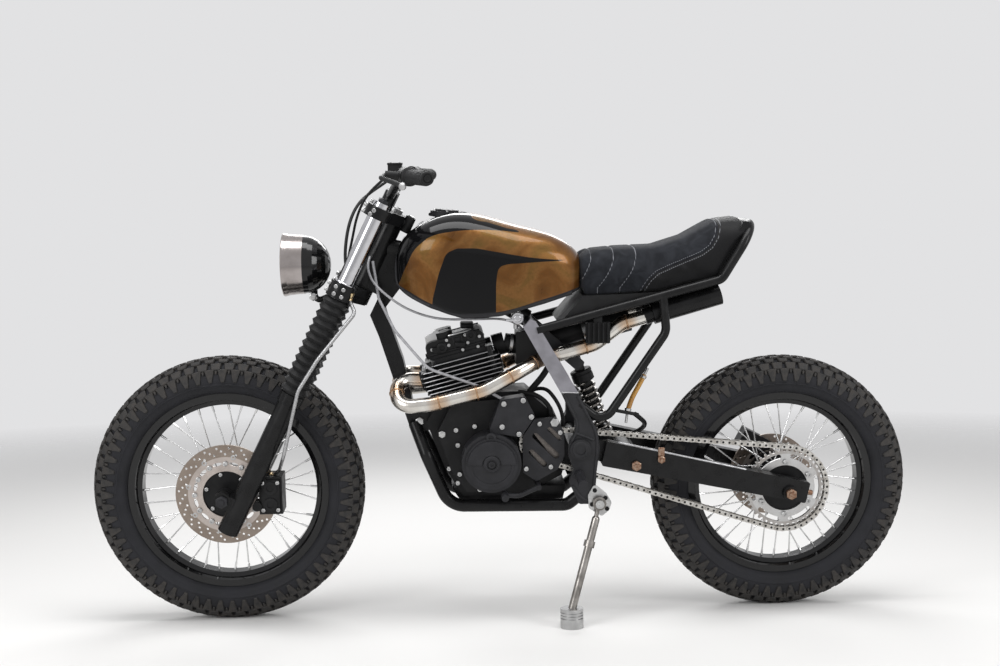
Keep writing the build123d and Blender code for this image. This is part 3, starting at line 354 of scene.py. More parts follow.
    @classmethod
    def plate(cls, name: str, outline: Sequence[Pair], low: float, high: float, bevel: float = 1.0) -> Piece:
        """A flat plate across the machine.

        Args:
            name: the object's name.
            outline: its (x, z) corners, in millimetres.
            low: the y of its right face.
            high: the y of its left face.
            bevel: the rounding of its edges.

        Returns:
            The object, its place in its mesh.
        """
        cls.clear()
        bpy.ops.mesh.primitive_circle_add(vertices=len(outline), fill_type="NGON")
        obj = cls._named(name)
        for v, (x, z) in zip(obj.data.vertices, outline):
            v.co = (x * MM, low * MM, z * MM)
        with cls.editing():
            bpy.ops.mesh.extrude_region_move(TRANSFORM_OT_translate={"value": (0, (high - low) * MM, 0)})
            bpy.ops.mesh.select_all(action="SELECT")
            bpy.ops.mesh.normals_make_consistent(inside=False)
        cls.soften(obj, bevel, 40)
        return obj

    @classmethod
    def soften(cls, obj: Piece, width: float, angle: float) -> None:
        """Rounds the edges sharper than an angle, in degrees, by a width in millimetres."""
        cls.modified(
            obj, "BEVEL", width=width * MM, segments=2, limit_method="ANGLE", angle_limit=math.radians(angle),
        )

    @classmethod
    def cut(cls, obj: Piece, tool: Piece) -> None:
        """Cuts one object out of another, and removes the tool."""
        cls.modified(obj, "BOOLEAN", object=tool, operation="DIFFERENCE", solver="EXACT")
        bpy.data.objects.remove(tool)

    @classmethod
    def joined(cls, name: str, pieces: Sequence[Piece]) -> Piece:
        """Several objects as one."""
        cls.alone(pieces[0])
        for piece in pieces:
            piece.select_set(True)
        bpy.ops.object.join()
        return cls._named(name)

    @classmethod
    def repeated(cls, name: str, pattern: Piece, places: Sequence[Matrix]) -> Piece:
        """One piece copied to many places as one object, and the pattern removed.

        Args:
            name: the new object's name.
            pattern: the piece that is copied.
            places: the moves, in metres, of the copies.

        Returns:
            The new object.
        """
        co = cls.read(pattern)
        count = len(co)
        co = np.c_[co, np.ones(count)]
        faces = [tuple(p.vertices) for p in pattern.data.polygons]
        verts, polys = [], []
        for i, place in enumerate(places):
            verts.append((co @ np.array(place).T)[:, :3])
            polys.extend(tuple(v + i * count for v in face) for face in faces)
        new = bpy.data.meshes.new(name)
        new.from_pydata(np.concatenate(verts).tolist(), [], polys)
        new.update()
        obj = bpy.data.objects.new(name, new)
        bpy.context.scene.collection.objects.link(obj)
        bpy.data.objects.remove(pattern)
        return obj

    @classmethod
    def hose(cls, name: str, points: Sequence[Point], radius: float) -> Piece:
        """A flexible line through control points, as a mesh tube.

        Args:
            name: the object's name.
            points: control points, in millimetres.
            radius: the tube's radius, in millimetres.

        Returns:
            The object, its place in its mesh.
        """
        curve = bpy.data.curves.new(name, "CURVE")
        curve.dimensions = "3D"
        curve.bevel_depth = radius * MM
        curve.bevel_resolution = 4
        curve.use_fill_caps = True
        spline = curve.splines.new("NURBS")
        spline.points.add(len(points) - 1)
        for knot, point in zip(spline.points, points):
            knot.co = (*(c * MM for c in point), 1)
        spline.order_u = 3
        spline.use_endpoint_u = True
        spline.resolution_u = 8
        obj = bpy.data.objects.new(name, curve)
        bpy.context.scene.collection.objects.link(obj)
        cls.alone(obj)
        bpy.ops.object.convert(target="MESH")
        return cls._named(name)

    @classmethod
    def place(cls, obj: Piece, finish: bpy.types.Material, body: Body, slot: str,
              stands_for: Sequence[str] = (), smooth: float = 40) -> None:
        """Leans a finished piece over with the machine and fixes it to its body.

        Args:
            obj: the piece, upright.
            finish: its material.
            body: the body that carries it.
            slot: the record's material slot; not used.
            stands_for: the nodes that it replaces.
            smooth: edges flatter than this, in degrees, are shaded smooth.
        """
        obj.data.transform(STANCE.park())
        cls.alone(obj)
        bpy.ops.object.shade_smooth_by_angle(angle=math.radians(smooth))
        obj.data.materials.clear()
        obj.data.materials.append(finish)
        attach(obj, body.value)
        if stands_for:
            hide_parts(*stands_for)
        LOG.info("%s on %s: %d faces", obj.name, body.value, len(obj.data.polygons))


class Tree:
    """Short ways to lay out the nodes of a tree."""

    def __init__(self, tree: bpy.types.NodeTree) -> None:
        """Takes the tree that the nodes go into."""
        self.tree = tree

    def add(self, kind: str, **plain: float | Sequence[float]) -> bpy.types.Node:
        """A new node.

        Args:
            kind: the shader node's type, without its usual beginning.
            plain: plain values for its inputs, their names with _ for a space.

        Returns:
            The node.
        """
        node = self.tree.nodes.new("ShaderNode" + kind)
        for name, value in plain.items():
            node.inputs[name.replace("_", " ")].default_value = value
        return node

    def link(self, start: Socket, end: Socket) -> None:
        """Joins two sockets."""
        self.tree.links.new(start, end)

    def feed(self, socket: Socket, value: Socket | float | Sequence[float]) -> None:
        """Gives a socket a link or a plain value."""
        if isinstance(value, Socket):
            self.link(value, socket)
        else:
            socket.default_value = value

    def math(self, how: str, a: Socket | float, b: Socket | float = 0.0) -> Socket:
        """A sum, product or other operation on two values."""
        node = self.add("Math")
        node.operation = how
        self.feed(node.inputs[0], a)
        self.feed(node.inputs[1], b)
        return node.outputs["Value"]

    def vector(self, how: str, a: Socket, b: Sequence[float] = (0, 0, 0)) -> Socket:
        """An operation on two vectors: a length or a distance is a value, anything else a vector."""
        node = self.add("VectorMath")
        node.operation = how
        self.link(a, node.inputs[0])
        node.inputs[1].default_value = b
        return node.outputs["Value" if how in ("LENGTH", "DISTANCE") else "Vector"]

    def apart(self, vector: Socket) -> tuple[Socket, ...]:
        """A vector's x, y and z."""
        node = self.add("SeparateXYZ")
        self.link(vector, node.inputs["Vector"])
        return tuple(node.outputs)

    def together(self, *values: Socket) -> Socket:
        """Values as a vector's x, y and z, as far as they go."""
        node = self.add("CombineXYZ")
        for value, socket in zip(values, node.inputs):
            self.link(value, socket)
        return node.outputs["Vector"]

    def ramp(self, value: Socket, low: float, high: float,
             to: Sequence[Socket | float] = (0.0, 1.0)) -> Socket:
        """A value brought from one range to another, and held there."""
        node = self.add("MapRange", From_Min=low, From_Max=high)
        self.link(value, node.inputs["Value"])
        self.feed(node.inputs["To Min"], to[0])
        self.feed(node.inputs["To Max"], to[1])
        return node.outputs["Result"]

    def noise(self, vector: Socket, scale: Socket | float, detail: float, twist: float = 0.0) -> Socket:
        """A cloudy value over the surface."""
        node = self.add("TexNoise", Detail=detail, Distortion=twist)
        self.link(vector, node.inputs["Vector"])
        self.feed(node.inputs["Scale"], scale)
        return node.outputs["Fac"]

    def pattern(self, kind: str, vector: Socket, scale: float) -> bpy.types.Node:
        """A regular texture over the surface, as its node."""
        node = self.add("Tex" + kind, Scale=scale)
        self.link(vector, node.inputs["Vector"])
        return node

    def colours(self, value: Socket, stops: Sequence[tuple[float, Point]]) -> Socket:
        """A value turned into a colour by stops."""
        node = self.add("ValToRGB")
        marks = node.color_ramp.elements
        while len(marks) < len(stops):
            marks.new(0.5)
        for mark, (place, colour) in zip(marks, stops):
            mark.position = place
            mark.color = (*colour, 1)
        self.link(value, node.inputs["Fac"])
        return node.outputs["Color"]

    def mix(self, share: Socket, a: Socket | Point, b: Socket | Point) -> Socket:
        """One colour turning into another by a share."""
        node = self.add("Mix")
        node.data_type = "RGBA"
        self.link(share, node.inputs["Factor"])
        for socket, colour in ((node.inputs["A"], a), (node.inputs["B"], b)):
            self.feed(socket, colour if isinstance(colour, Socket) else (*colour, 1))
        return node.outputs["Result"]


class Nodes(Tree):
    """A material's nodes round its shader."""

    def __init__(self, name: str) -> None:
        """Starts a material with its shader and Object coordinates, in metres."""
        self.mat = bpy.data.materials.new(name)
        self.mat.use_nodes = True
        super().__init__(self.mat.node_tree)
        self.shader = self.tree.nodes["Principled BSDF"]
        self.where = self.add("TexCoord").outputs["Object"]

    @cached_property
    def upright(self) -> Socket:
        """The coordinates on the upright machine."""
        turn = self.add("Mapping", Rotation=(STANCE.lean, 0, 0))
        self.link(self.where, turn.inputs["Vector"])
        return turn.outputs["Vector"]

    def group(self, tree: bpy.types.NodeTree, **plain: float | Sequence[float]) -> bpy.types.NodeOutputs:
        """A shared group over the surface.

        Args:
            tree: the group.
            plain: plain values for its inputs, their names with _ for a space.

        Returns:
            The group's outputs, by name.
        """
        node = self.add("Group")
        node.node_tree = tree
        for name, value in plain.items():
            node.inputs[name.replace("_", " ")].default_value = value
        self.link(self.where, node.inputs["Vector"])
        return node.outputs

    def bump(self, height: Socket, strength: float, depth: float = 1.0) -> None:
        """A height in millimetres as the surface's relief."""
        node = self.add("Bump", Strength=strength, Distance=depth * MM)
        self.link(height, node.inputs["Height"])
        self.link(node.outputs["Normal"], self.shader.inputs["Normal"])

    def show(self, **values: Socket | float | Sequence[float]) -> None:
        """Links or plain values for the shader's own sockets, their names with _ for a space."""
        for name, value in values.items():
            self.feed(self.shader.inputs[name.replace("_", " ")], value)


class Groups:
    """Shader node groups that the finishes share, each built once."""

    @staticmethod
    def _fresh(name: str, takes: dict[str, str], gives: dict[str, str]
               ) -> tuple[Tree, bpy.types.NodeOutputs, bpy.types.NodeInputs]:
        """An empty group with named sockets.

        Args:
            name: the group's name.
            takes: its inputs' types by name.
            gives: its outputs' types by name.

        Returns:
            The group, the sockets that bring its inputs in, and those that its outputs go to.
        """
        tree = bpy.data.node_groups.new(name, "ShaderNodeTree")
        for way, sockets in (("INPUT", takes), ("OUTPUT", gives)):
            for label, kind in sockets.items():
                tree.interface.new_socket(label, in_out=way, socket_type="NodeSocket" + kind)
        start, end = tree.nodes.new("NodeGroupInput"), tree.nodes.new("NodeGroupOutput")
        return Tree(tree), start.outputs, end.inputs

    @classmethod
    def tones(cls) -> bpy.types.NodeTree:
        """Colour and gloss that drift between two values over the surface."""
        if "Tones" in bpy.data.node_groups:
            return bpy.data.node_groups["Tones"]
        nodes, takes, gives = cls._fresh(
            "Tones",
            {"Vector": "Vector", "Colour": "Color", "Second Tone": "Color", "Patch Size": "Float",
             "Smooth": "Float", "Dull": "Float"},
            {"Colour": "Color", "Roughness": "Float"},
        )
        drift = nodes.ramp(nodes.noise(takes["Vector"], takes["Patch Size"], 6), 0.35, 0.65)
        nodes.link(nodes.mix(drift, takes["Colour"], takes["Second Tone"]), gives["Colour"])
        nodes.link(nodes.ramp(drift, 0, 1, (takes["Smooth"], takes["Dull"])), gives["Roughness"])
        return nodes.tree

    @classmethod
    def grain(cls) -> bpy.types.NodeTree:
        """A fine uneven surface, as a height."""
        if "Grain" in bpy.data.node_groups:
            return bpy.data.node_groups["Grain"]
        nodes, takes, gives = cls._fresh(
            "Grain", {"Vector": "Vector", "Fineness": "Float"}, {"Height": "Float"},
        )
        nodes.link(nodes.noise(takes["Vector"], takes["Fineness"], 3), gives["Height"])
        return nodes.tree


@dataclass(frozen=True)
class Finish:
    """A surface: its colour with a second tone, its gloss with some spread, and its grain."""

    name: str
    colour: Point
    tone: Point
    rough: Pair
    metal: float = 0.0
    coat: float = 0.0
    coat_rough: float = 0.08
    mottle: float = 30.0
    grain: float = 400.0
    bump: float = 0.05
    spec: float = 0.5

    def made(self) -> bpy.types.Material:
        """The finish as a material.

        Returns:
            The material, with its shader in it and the tones from the shared groups.
        """
        nodes = Nodes(self.name)
        tones = nodes.group(
            Groups.tones(), Colour=(*self.colour, 1), Second_Tone=(*self.tone, 1), Patch_Size=self.mottle,
            Smooth=self.rough[0], Dull=self.rough[1],
        )
        nodes.show(
            Base_Color=tones["Colour"], Roughness=tones["Roughness"], Metallic=self.metal,
            Coat_Weight=self.coat, Coat_Roughness=self.coat_rough, Specular_IOR_Level=self.spec,
        )
        if self.bump:
            nodes.bump(nodes.group(Groups.grain(), Fineness=self.grain)["Height"], self.bump)
        return nodes.mat


FINISHES: dict[str, Finish] = {
    f.name: f
    for f in (
        Finish("frame_paint", (0.005, 0.005, 0.0053), (0.009, 0.009, 0.0094), (0.24, 0.36),
               grain=900, bump=0.04, spec=0.2),
        Finish("strut_paint", (0.23, 0.225, 0.25), (0.17, 0.166, 0.184), (0.36, 0.48), grain=900),
        Finish("engine_paint", (0.006, 0.006, 0.0064), (0.012, 0.012, 0.0126), (0.38, 0.52),
               grain=700, bump=0.12, spec=0.18),
        Finish("cast_paint", (0.013, 0.0133, 0.015), (0.021, 0.021, 0.0235), (0.38, 0.52),
               grain=500, bump=0.2, spec=0.25),
        Finish("cover_paint", (0.014, 0.014, 0.016), (0.021, 0.021, 0.024), (0.4, 0.52),
               grain=800, bump=0.1, spec=0.25),
        Finish("chrome", (0.56, 0.56, 0.58), (0.48, 0.48, 0.5), (0.07, 0.13), metal=1, bump=0),
        Finish("smoked_chrome", (0.4, 0.365, 0.355), (0.3, 0.27, 0.26), (0.16, 0.26),
               metal=1, mottle=24, bump=0),
        Finish("spring_steel", (0.24, 0.23, 0.22), (0.15, 0.14, 0.13), (0.16, 0.28),
               metal=1, mottle=60, bump=0.03),
        Finish("braid", (0.5, 0.5, 0.5), (0.26, 0.26, 0.27), (0.3, 0.45),
               metal=1, mottle=700, grain=900, bump=0.5),
        Finish("chain_steel", (0.56, 0.55, 0.53), (0.4, 0.38, 0.35), (0.26, 0.42),
               metal=1, mottle=90, bump=0.08),
        Finish("alloy", (0.5, 0.5, 0.5), (0.38, 0.38, 0.38), (0.24, 0.4), metal=1, mottle=40, bump=0.06),
        # Bright alloy for the fins' machined edges, and for the painted highlight rods on the swingarm and the
        # side plate
        Finish("fin_edge_and_painted_highlight", (0.5, 0.5, 0.51), (0.34, 0.34, 0.35), (0.3, 0.5), metal=1, mottle=60, bump=0.06),
        Finish("stand_steel", (0.36, 0.34, 0.32), (0.16, 0.15, 0.14), (0.28, 0.46), metal=1, bump=0.1),
        Finish("old_bolt", (0.34, 0.25, 0.19), (0.2, 0.1, 0.06), (0.34, 0.6), metal=1, mottle=160, bump=0.15),
        Finish("weld_tan", (0.46, 0.3, 0.18), (0.3, 0.17, 0.1), (0.3, 0.45), metal=1, mottle=200, bump=0.3),
        Finish("brass", (0.72, 0.57, 0.34), (0.56, 0.42, 0.24), (0.22, 0.36), metal=1, bump=0.04),
        Finish("amber_tube", (0.5, 0.25, 0.03), (0.36, 0.16, 0.015), (0.12, 0.2), coat=0.6, bump=0),
        Finish("grey_cable", (0.42, 0.42, 0.44), (0.29, 0.29, 0.305), (0.34, 0.5), mottle=80, bump=0.1),
        Finish("gauze", (0.2, 0.18, 0.165), (0.1, 0.09, 0.085), (0.4, 0.6),
               metal=1, mottle=700, grain=900, bump=0.6),
        Finish("rim_gloss", (0.004, 0.004, 0.0044), (0.006, 0.006, 0.0064), (0.1, 0.18),
               coat=0.35, bump=0.01, spec=0.2),
        Finish("spoke_steel", (0.74, 0.74, 0.74), (0.6, 0.6, 0.6), (0.16, 0.28), metal=1, bump=0),
        Finish("tyre_rubber", (0.0135, 0.0138, 0.016), (0.021, 0.0213, 0.025), (0.58, 0.74),
               mottle=16, grain=500, bump=0.2, spec=0.2),
        # The lugs' rubber, lighter and browner than the carcass's: a painted highlight on the tread blocks,
        # with dust
        Finish("tread_highlight_and_dust", (0.017, 0.0165, 0.0165), (0.04, 0.036, 0.033), (0.5, 0.72),
               mottle=70, grain=600, bump=0.3, spec=0.3),
        Finish("soft_rubber", (0.008, 0.008, 0.0084), (0.014, 0.014, 0.0145), (0.48, 0.64),
               grain=600, bump=0.15, spec=0.2),
        Finish("black_plastic", (0.009, 0.009, 0.0094), (0.014, 0.014, 0.0145), (0.42, 0.56),
               grain=900, bump=0.12, spec=0.2),
        Finish("black_leather", (0.006, 0.006, 0.0066), (0.011, 0.011, 0.0116), (0.5, 0.6),
               grain=420, bump=0.15, spec=0.15),
    )
}

NODE_FINISH: dict[str, str] = {
    node: finish
    for finish, nodes in {
        "frame_paint": "frame_head frame_cradle subframe_hoop subframe_struts swingarm shock_absorber "
                       "mufflers fork_sliders lower_clamp top_clamp handlebar",
        "strut_paint": "frame_side_struts",
        "cast_paint": "frame_side_plates",
        "engine_paint": "engine_crankcase engine_cylinder regulator rear_caliper front_caliper front_hub "
                        "rear_hub",
        "cover_paint": "engine_side_covers sprocket_cover foot_controls fuel_cap",
        "tank_paint": "fuel_tank",
        "black_leather": "seat",
        "black_plastic": "intake seat_pan bar_controls",
        "soft_rubber": "fork_gaiters grips",
        "tyre_rubber": "front_tyre rear_tyre",
        "rim_gloss": "lamp_shell front_rim rear_rim",
        "smoked_chrome": "lamp_bezel",
        "lamp_glass": "lamp_lens",
        "chrome": "fork_stanchions",
        "spoke_steel": "front_spokes rear_spokes",
        "front_disc": "front_disc",
        "rear_disc": "rear_disc",
        "rear_sprocket": "rear_sprocket",
        "chain_steel": "chain",
        "exhaust_steel": "exhaust_pipes",
        "alloy": "petcock stand_bracket side_stand_foot",
        "stand_steel": "side_stand_leg",
        "braid": "front_brake_hose",
        "grey_cable": "clutch_cable",
    }.items()
    for node in nodes.split()
}


class Paintbox:
    """Makes each finish once and hands it out by name."""

    def __init__(self) -> None:
        """Starts with nothing made."""
        self._made: dict[str, bpy.types.Material] = {}

    def get(self, name: str) -> bpy.types.Material:
        """The material of a finish, made when first asked for."""
        if name not in self._made:
            self._made[name] = FINISHES[name].made()
        return self._made[name]

    def keep(self, name: str, finish: TankPaint | DiscFace | SeatCover | ExhaustSteel | LampGlass) -> None:
        """Makes a finish of its own kind, to be asked for by name."""
        self._made[name] = finish.made()

    def dress(self, nodes: dict[str, Piece]) -> None:
        """Gives every node of the frame its finish.

        Args:
            nodes: the frame's objects by name.
        """
        for name, obj in nodes.items():
            obj.data.materials.clear()
            obj.data.materials.append(self.get(NODE_FINISH[name]))


@dataclass(frozen=True)
class TankPaint:
    """Black gloss with bronze panels: each edge is a line of (x, z) points on the tank's side."""

    x: Pair = (-200.0, 300.0)
    z: Pair = (700.0, 1100.0)
    band: tuple[Pair, ...] = (
        (-200, 1100), (-36, 1100), (-30, 1002), (16, 1007), (70, 1010), (138, 1006), (187, 994), (207, 980),
        (225, 963), (242, 932), (260, 892), (270, 868), (300, 780),
    )
    ridge: tuple[Pair, ...] = (
        (-200, 860), (-46, 900), (-33, 1001), (2, 1013), (39, 1025), (86, 1041), (89, 1100), (300, 1100),
    )
    boot: tuple[Pair, ...] = (
        (-200, 928), (-148, 932), (-67, 940), (-20, 948), (36, 959), (90, 967), (117, 967), (134, 962),
        (146, 955), (159, 928), (167, 906), (175, 875), (184, 838), (196, 720), (300, 720),
    )
    heel: tuple[Pair, ...] = (
        (-200, 960), (-150, 933), (-81, 930), (-32, 928), (2, 926), (19, 919), (26, 900), (29, 860),
        (31, 720), (300, 700),
    )
    lip: tuple[Pair, ...] = (
        (-200, 868), (-160, 857), (-90, 838), (20, 811), (110, 807), (190, 833), (244, 861), (300, 890),
    )
    # Half the width of the change of colour at an edge
    step: float = 0.6
    # The bronze's clouds, the flecks in it, and the black above and on the lip
    clouds: tuple[tuple[float, Point], ...] = (
        (0.22, (0.058, 0.022, 0.0045)), (0.42, (0.135, 0.055, 0.0125)), (0.52, (0.185, 0.085, 0.024)),
        (0.62, (0.128, 0.069, 0.017)), (0.8, (0.225, 0.108, 0.036)),
    )
    fleck: Point = (0.1, 0.05, 0.014)
    black: Point = (0.0045, 0.0045, 0.005)
    lip_black: Point = (0.03, 0.03, 0.032)
    metal: float = 0.62

    def _line(self, nodes: Nodes, points: Sequence[Pair], x: Socket) -> Socket:
        """The height of an edge at the surface's x.

        Args:
            nodes: the material being laid out.
            points: the edge, from the tail forward.
            x: the surface's x, in metres.

        Returns:
            The edge's z there, in metres.
        """
        node = nodes.add("FloatCurve")
        curve = node.mapping.curves[0]
        while len(curve.points) < len(points):
            curve.points.new(0.5, 0.5)
        (x0, x1), (z0, z1) = self.x, self.z
        for knot, (px, pz) in zip(curve.points, points):
            knot.location = ((px - x0) / (x1 - x0), (pz - z0) / (z1 - z0))
            knot.handle_type = "AUTO_CLAMPED"
        node.mapping.update()
        nodes.link(nodes.ramp(x, x0 * MM, x1 * MM), node.inputs["Value"])
        return nodes.ramp(node.outputs["Value"], 0, 1, (z0 * MM, z1 * MM))

    def made(self) -> bpy.types.Material:
        """The paint as a material."""
        nodes = Nodes("tank_two_tone")
        x, _, z = nodes.apart(nodes.upright)

        def under(points: Sequence[Pair]) -> Socket:
            """How far the surface is below an edge, as 0 or 1 with a narrow step."""
            below = nodes.math("SUBTRACT", self._line(nodes, points, x), z)
            return nodes.ramp(below, -self.step * MM, self.step * MM)

        def over(points: Sequence[Pair]) -> Socket:
            """The same, above it."""
            return nodes.math("SUBTRACT", 1.0, under(points))

        panel = nodes.math("MAXIMUM", under(self.band), over(self.ridge))
        boot = nodes.math("MULTIPLY", under(self.boot), over(self.heel))
        above_lip = over(self.lip)
        mask = nodes.math("MULTIPLY", panel, nodes.math("SUBTRACT", 1.0, boot))
        mask = nodes.math("MULTIPLY", mask, above_lip)
        cloud = nodes.noise(nodes.upright, 9, 7, 1.2)
        speck = nodes.ramp(nodes.noise(nodes.upright, 160, 3), 0.45, 0.75, (0.0, 0.5))
        bronze = nodes.mix(speck, nodes.colours(cloud, self.clouds), self.fleck)
        black = nodes.mix(above_lip, self.lip_black, self.black)
        gloss = nodes.ramp(cloud, 0.3, 0.7, (0.26, 0.4))
        nodes.show(
            Base_Color=nodes.mix(mask, black, bronze),
            Metallic=nodes.math("MULTIPLY", mask, self.metal),
            Roughness=nodes.math("MULTIPLY", gloss, nodes.ramp(mask, 0, 1, (0.4, 1.0))),
            Coat_Weight=nodes.ramp(above_lip, 0, 1, (0.1, 1.0)),
            Coat_Roughness=0.05, Coat_IOR=1.24, Specular_IOR_Level=0.04,
        )
        return nodes.mat


@dataclass(frozen=True)
class DiscFace:
    """A brake disc or sprocket: a turned band outside, a carrier inside, and fine rings from the lathe."""

    name: str
    at: Pair
    edge: float
    band: Point = (0.27, 0.228, 0.195)
    carrier: Point = (0.46, 0.41, 0.38)
    worn: Point = (0.16, 0.12, 0.095)

    def made(self) -> bpy.types.Material:
        """The finish as a material."""
        nodes = Nodes(self.name)
        about = nodes.vector("SUBTRACT", nodes.upright, (self.at[0] * MM, 0, self.at[1] * MM))
        r = nodes.vector("LENGTH", nodes.vector("MULTIPLY", about, (1, 0, 1)))
        lathe = nodes.noise(nodes.together(r), 900, 2)
        cloud = nodes.noise(nodes.upright, 28, 5)
        band = nodes.mix(nodes.ramp(cloud, 0.35, 0.75, (0.0, 0.5)), self.band, self.worn)
        inner = nodes.mix(nodes.ramp(cloud, 0.4, 0.75, (0.0, 0.25)), self.carrier, self.worn)
        out = nodes.ramp(r, (self.edge - 0.5) * MM, (self.edge + 0.5) * MM)
        nodes.show(
            Base_Color=nodes.mix(out, inner, band), Roughness=nodes.ramp(lathe, 0.3, 0.7, (0.24, 0.42)),
            Metallic=1.0,
        )
        nodes.bump(lathe, 0.25, 0.3)
        return nodes.mat


# Weld beads along the left header: place and direction of the pipe there
WELDS: tuple[tuple[Point, Point], ...] = (
    ((214, 49.5, 629.5), (76, 5, 5)), ((277, 88, 604), (-10, 68, -60)), ((172, 124, 586.3), (-127, 0, 30)),
    ((78, 124, 608.5), (-127, 0, 30)), ((-6, 110.5, 645.7), (-82, -16, 40)), ((-68, 81, 674), (-62, -34, 28)),
    ((-104, 73.3, 686), (-140, -4, 37)), ((-198, 70.7, 711), (-140, -4, 37)), ((-300, 70, 772), (-54, 0, 14)),
)


@dataclass(frozen=True)
class ExhaustSteel:
    """Brushed stainless tube that heat has turned tan beside its welds."""

    steel: Point = (0.66, 0.64, 0.6)
    dull: Point = (0.5, 0.47, 0.43)
    tan: Point = (0.5, 0.33, 0.2)
    tube_r: float = 19.0
    reach: float = 17.0

    def made(self) -> bpy.types.Material:
        """The finish as a material."""
        nodes = Nodes("exhaust_steel")
        x, y, z = nodes.apart(nodes.upright)
        left = nodes.together(x, nodes.math("ABSOLUTE", y), z)
        gaps = [nodes.vector("DISTANCE", left, [c * MM for c in at]) for at, _ in WELDS]
        near = gaps[0]
        for gap in gaps[1:]:
            near = nodes.math("MINIMUM", near, gap)
        warm = nodes.ramp(near, self.tube_r * MM, (self.tube_r + self.reach) * MM, (0.75, 0.0))
        cloud = nodes.noise(nodes.upright, 16, 5)
        steel = nodes.mix(nodes.ramp(cloud, 0.38, 0.68), self.steel, self.dull)
        nodes.show(
            Base_Color=nodes.mix(warm, steel, self.tan), Roughness=nodes.ramp(cloud, 0.3, 0.7, (0.16, 0.3)),
            Metallic=1.0,
        )
        nodes.bump(nodes.noise(nodes.upright, 500, 2), 0.04, 0.3)
        return nodes.mat


@dataclass(frozen=True)
class LampGlass:
    """A fluted lens over a bright reflector: the lit reflector and the flutes' light and dark bands are
    painted into the lens's colour.
    """

    # Painted light: the bright colour stands in for the lit reflector behind the glass, the dark one is
    # painted shade between the flutes' bright bands
    bright: Point = (0.78, 0.8, 0.82)
    painted_flute_shade: Point = (0.4, 0.42, 0.45)

    def made(self) -> bpy.types.Material:
        """The finish as a material."""
        nodes = Nodes("lamp_glass")
        wave = nodes.pattern("Wave", nodes.upright, 45)
        wave.bands_direction = "Y"
        flutes = wave.outputs["Fac"]
        nodes.show(
            Base_Color=nodes.mix(flutes, self.bright, self.painted_flute_shade),
            Roughness=nodes.ramp(flutes, 0, 1, (0.08, 0.2)),
            Metallic=0.8, Coat_Weight=1.0, Coat_Roughness=0.02,
        )
        nodes.bump(flutes, 0.5, 0.8)
        return nodes.mat


@dataclass(frozen=True)
class SeatCover:
    """Blue-grey suede in front and on top, black leather round the tail, and pale thread.

    The pad carries two distances as attributes: from the seam, and from the nearest sewn line.
    """

    suede: Point = (0.0098, 0.0108, 0.0135)
    brushed: Point = (0.02, 0.0218, 0.0265)
    hide: Point = (0.006, 0.006, 0.0066)
    thread: Point = (0.16, 0.165, 0.18)
    # How far each of the two rows of thread lies from the seam
    row_gap: float = 5.0

    def made(self) -> bpy.types.Material:
        """The cover as a material."""
        nodes = Nodes("seat_suede_and_leather")

        def stored(name: str) -> Socket:
            """A distance that the pad carries, in millimetres."""
            node = nodes.add("Attribute")
            node.attribute_name = name
            return node.outputs["Fac"]

        def rest(share: Socket) -> Socket:
            """What a share leaves."""
            return nodes.math("SUBTRACT", 1.0, share)

        seam = stored("seam")
        leather = nodes.ramp(seam, -0.4, 0.4)
        nap = nodes.noise(nodes.upright, 34, 5, 0.8)
        soft = nodes.mix(nodes.ramp(nap, 0.36, 0.68), self.suede, self.brushed)
        cover = nodes.mix(leather, soft, self.hide)
        stitch = nodes.pattern("Wave", nodes.upright, 62).outputs["Fac"]
        beside = nodes.math("SUBTRACT", nodes.math("ABSOLUTE", seam), self.row_gap)
        rows = rest(nodes.ramp(nodes.math("ABSOLUTE", beside), 0.5, 1.0))
        sewn = nodes.math("MULTIPLY", rest(nodes.ramp(stored("quilt"), 0.8, 1.6)), rest(leather))
        thread = nodes.math("MULTIPLY", nodes.math("MAXIMUM", rows, sewn), nodes.ramp(stitch, 0.3, 0.45))
        nodes.show(
            Base_Color=nodes.mix(thread, cover, self.thread),
            Roughness=nodes.ramp(leather, 0, 1, (0.92, 0.56)),
            Sheen_Weight=0.06, Sheen_Roughness=0.5, Specular_IOR_Level=0.14,
        )
        fibre = nodes.noise(nodes.upright, 900, 3)
        pores = nodes.pattern("Voronoi", nodes.upright, 520).outputs["Distance"]
        nodes.bump(nodes.mix(leather, fibre, pores), 0.12, 0.3)
        return nodes.mat


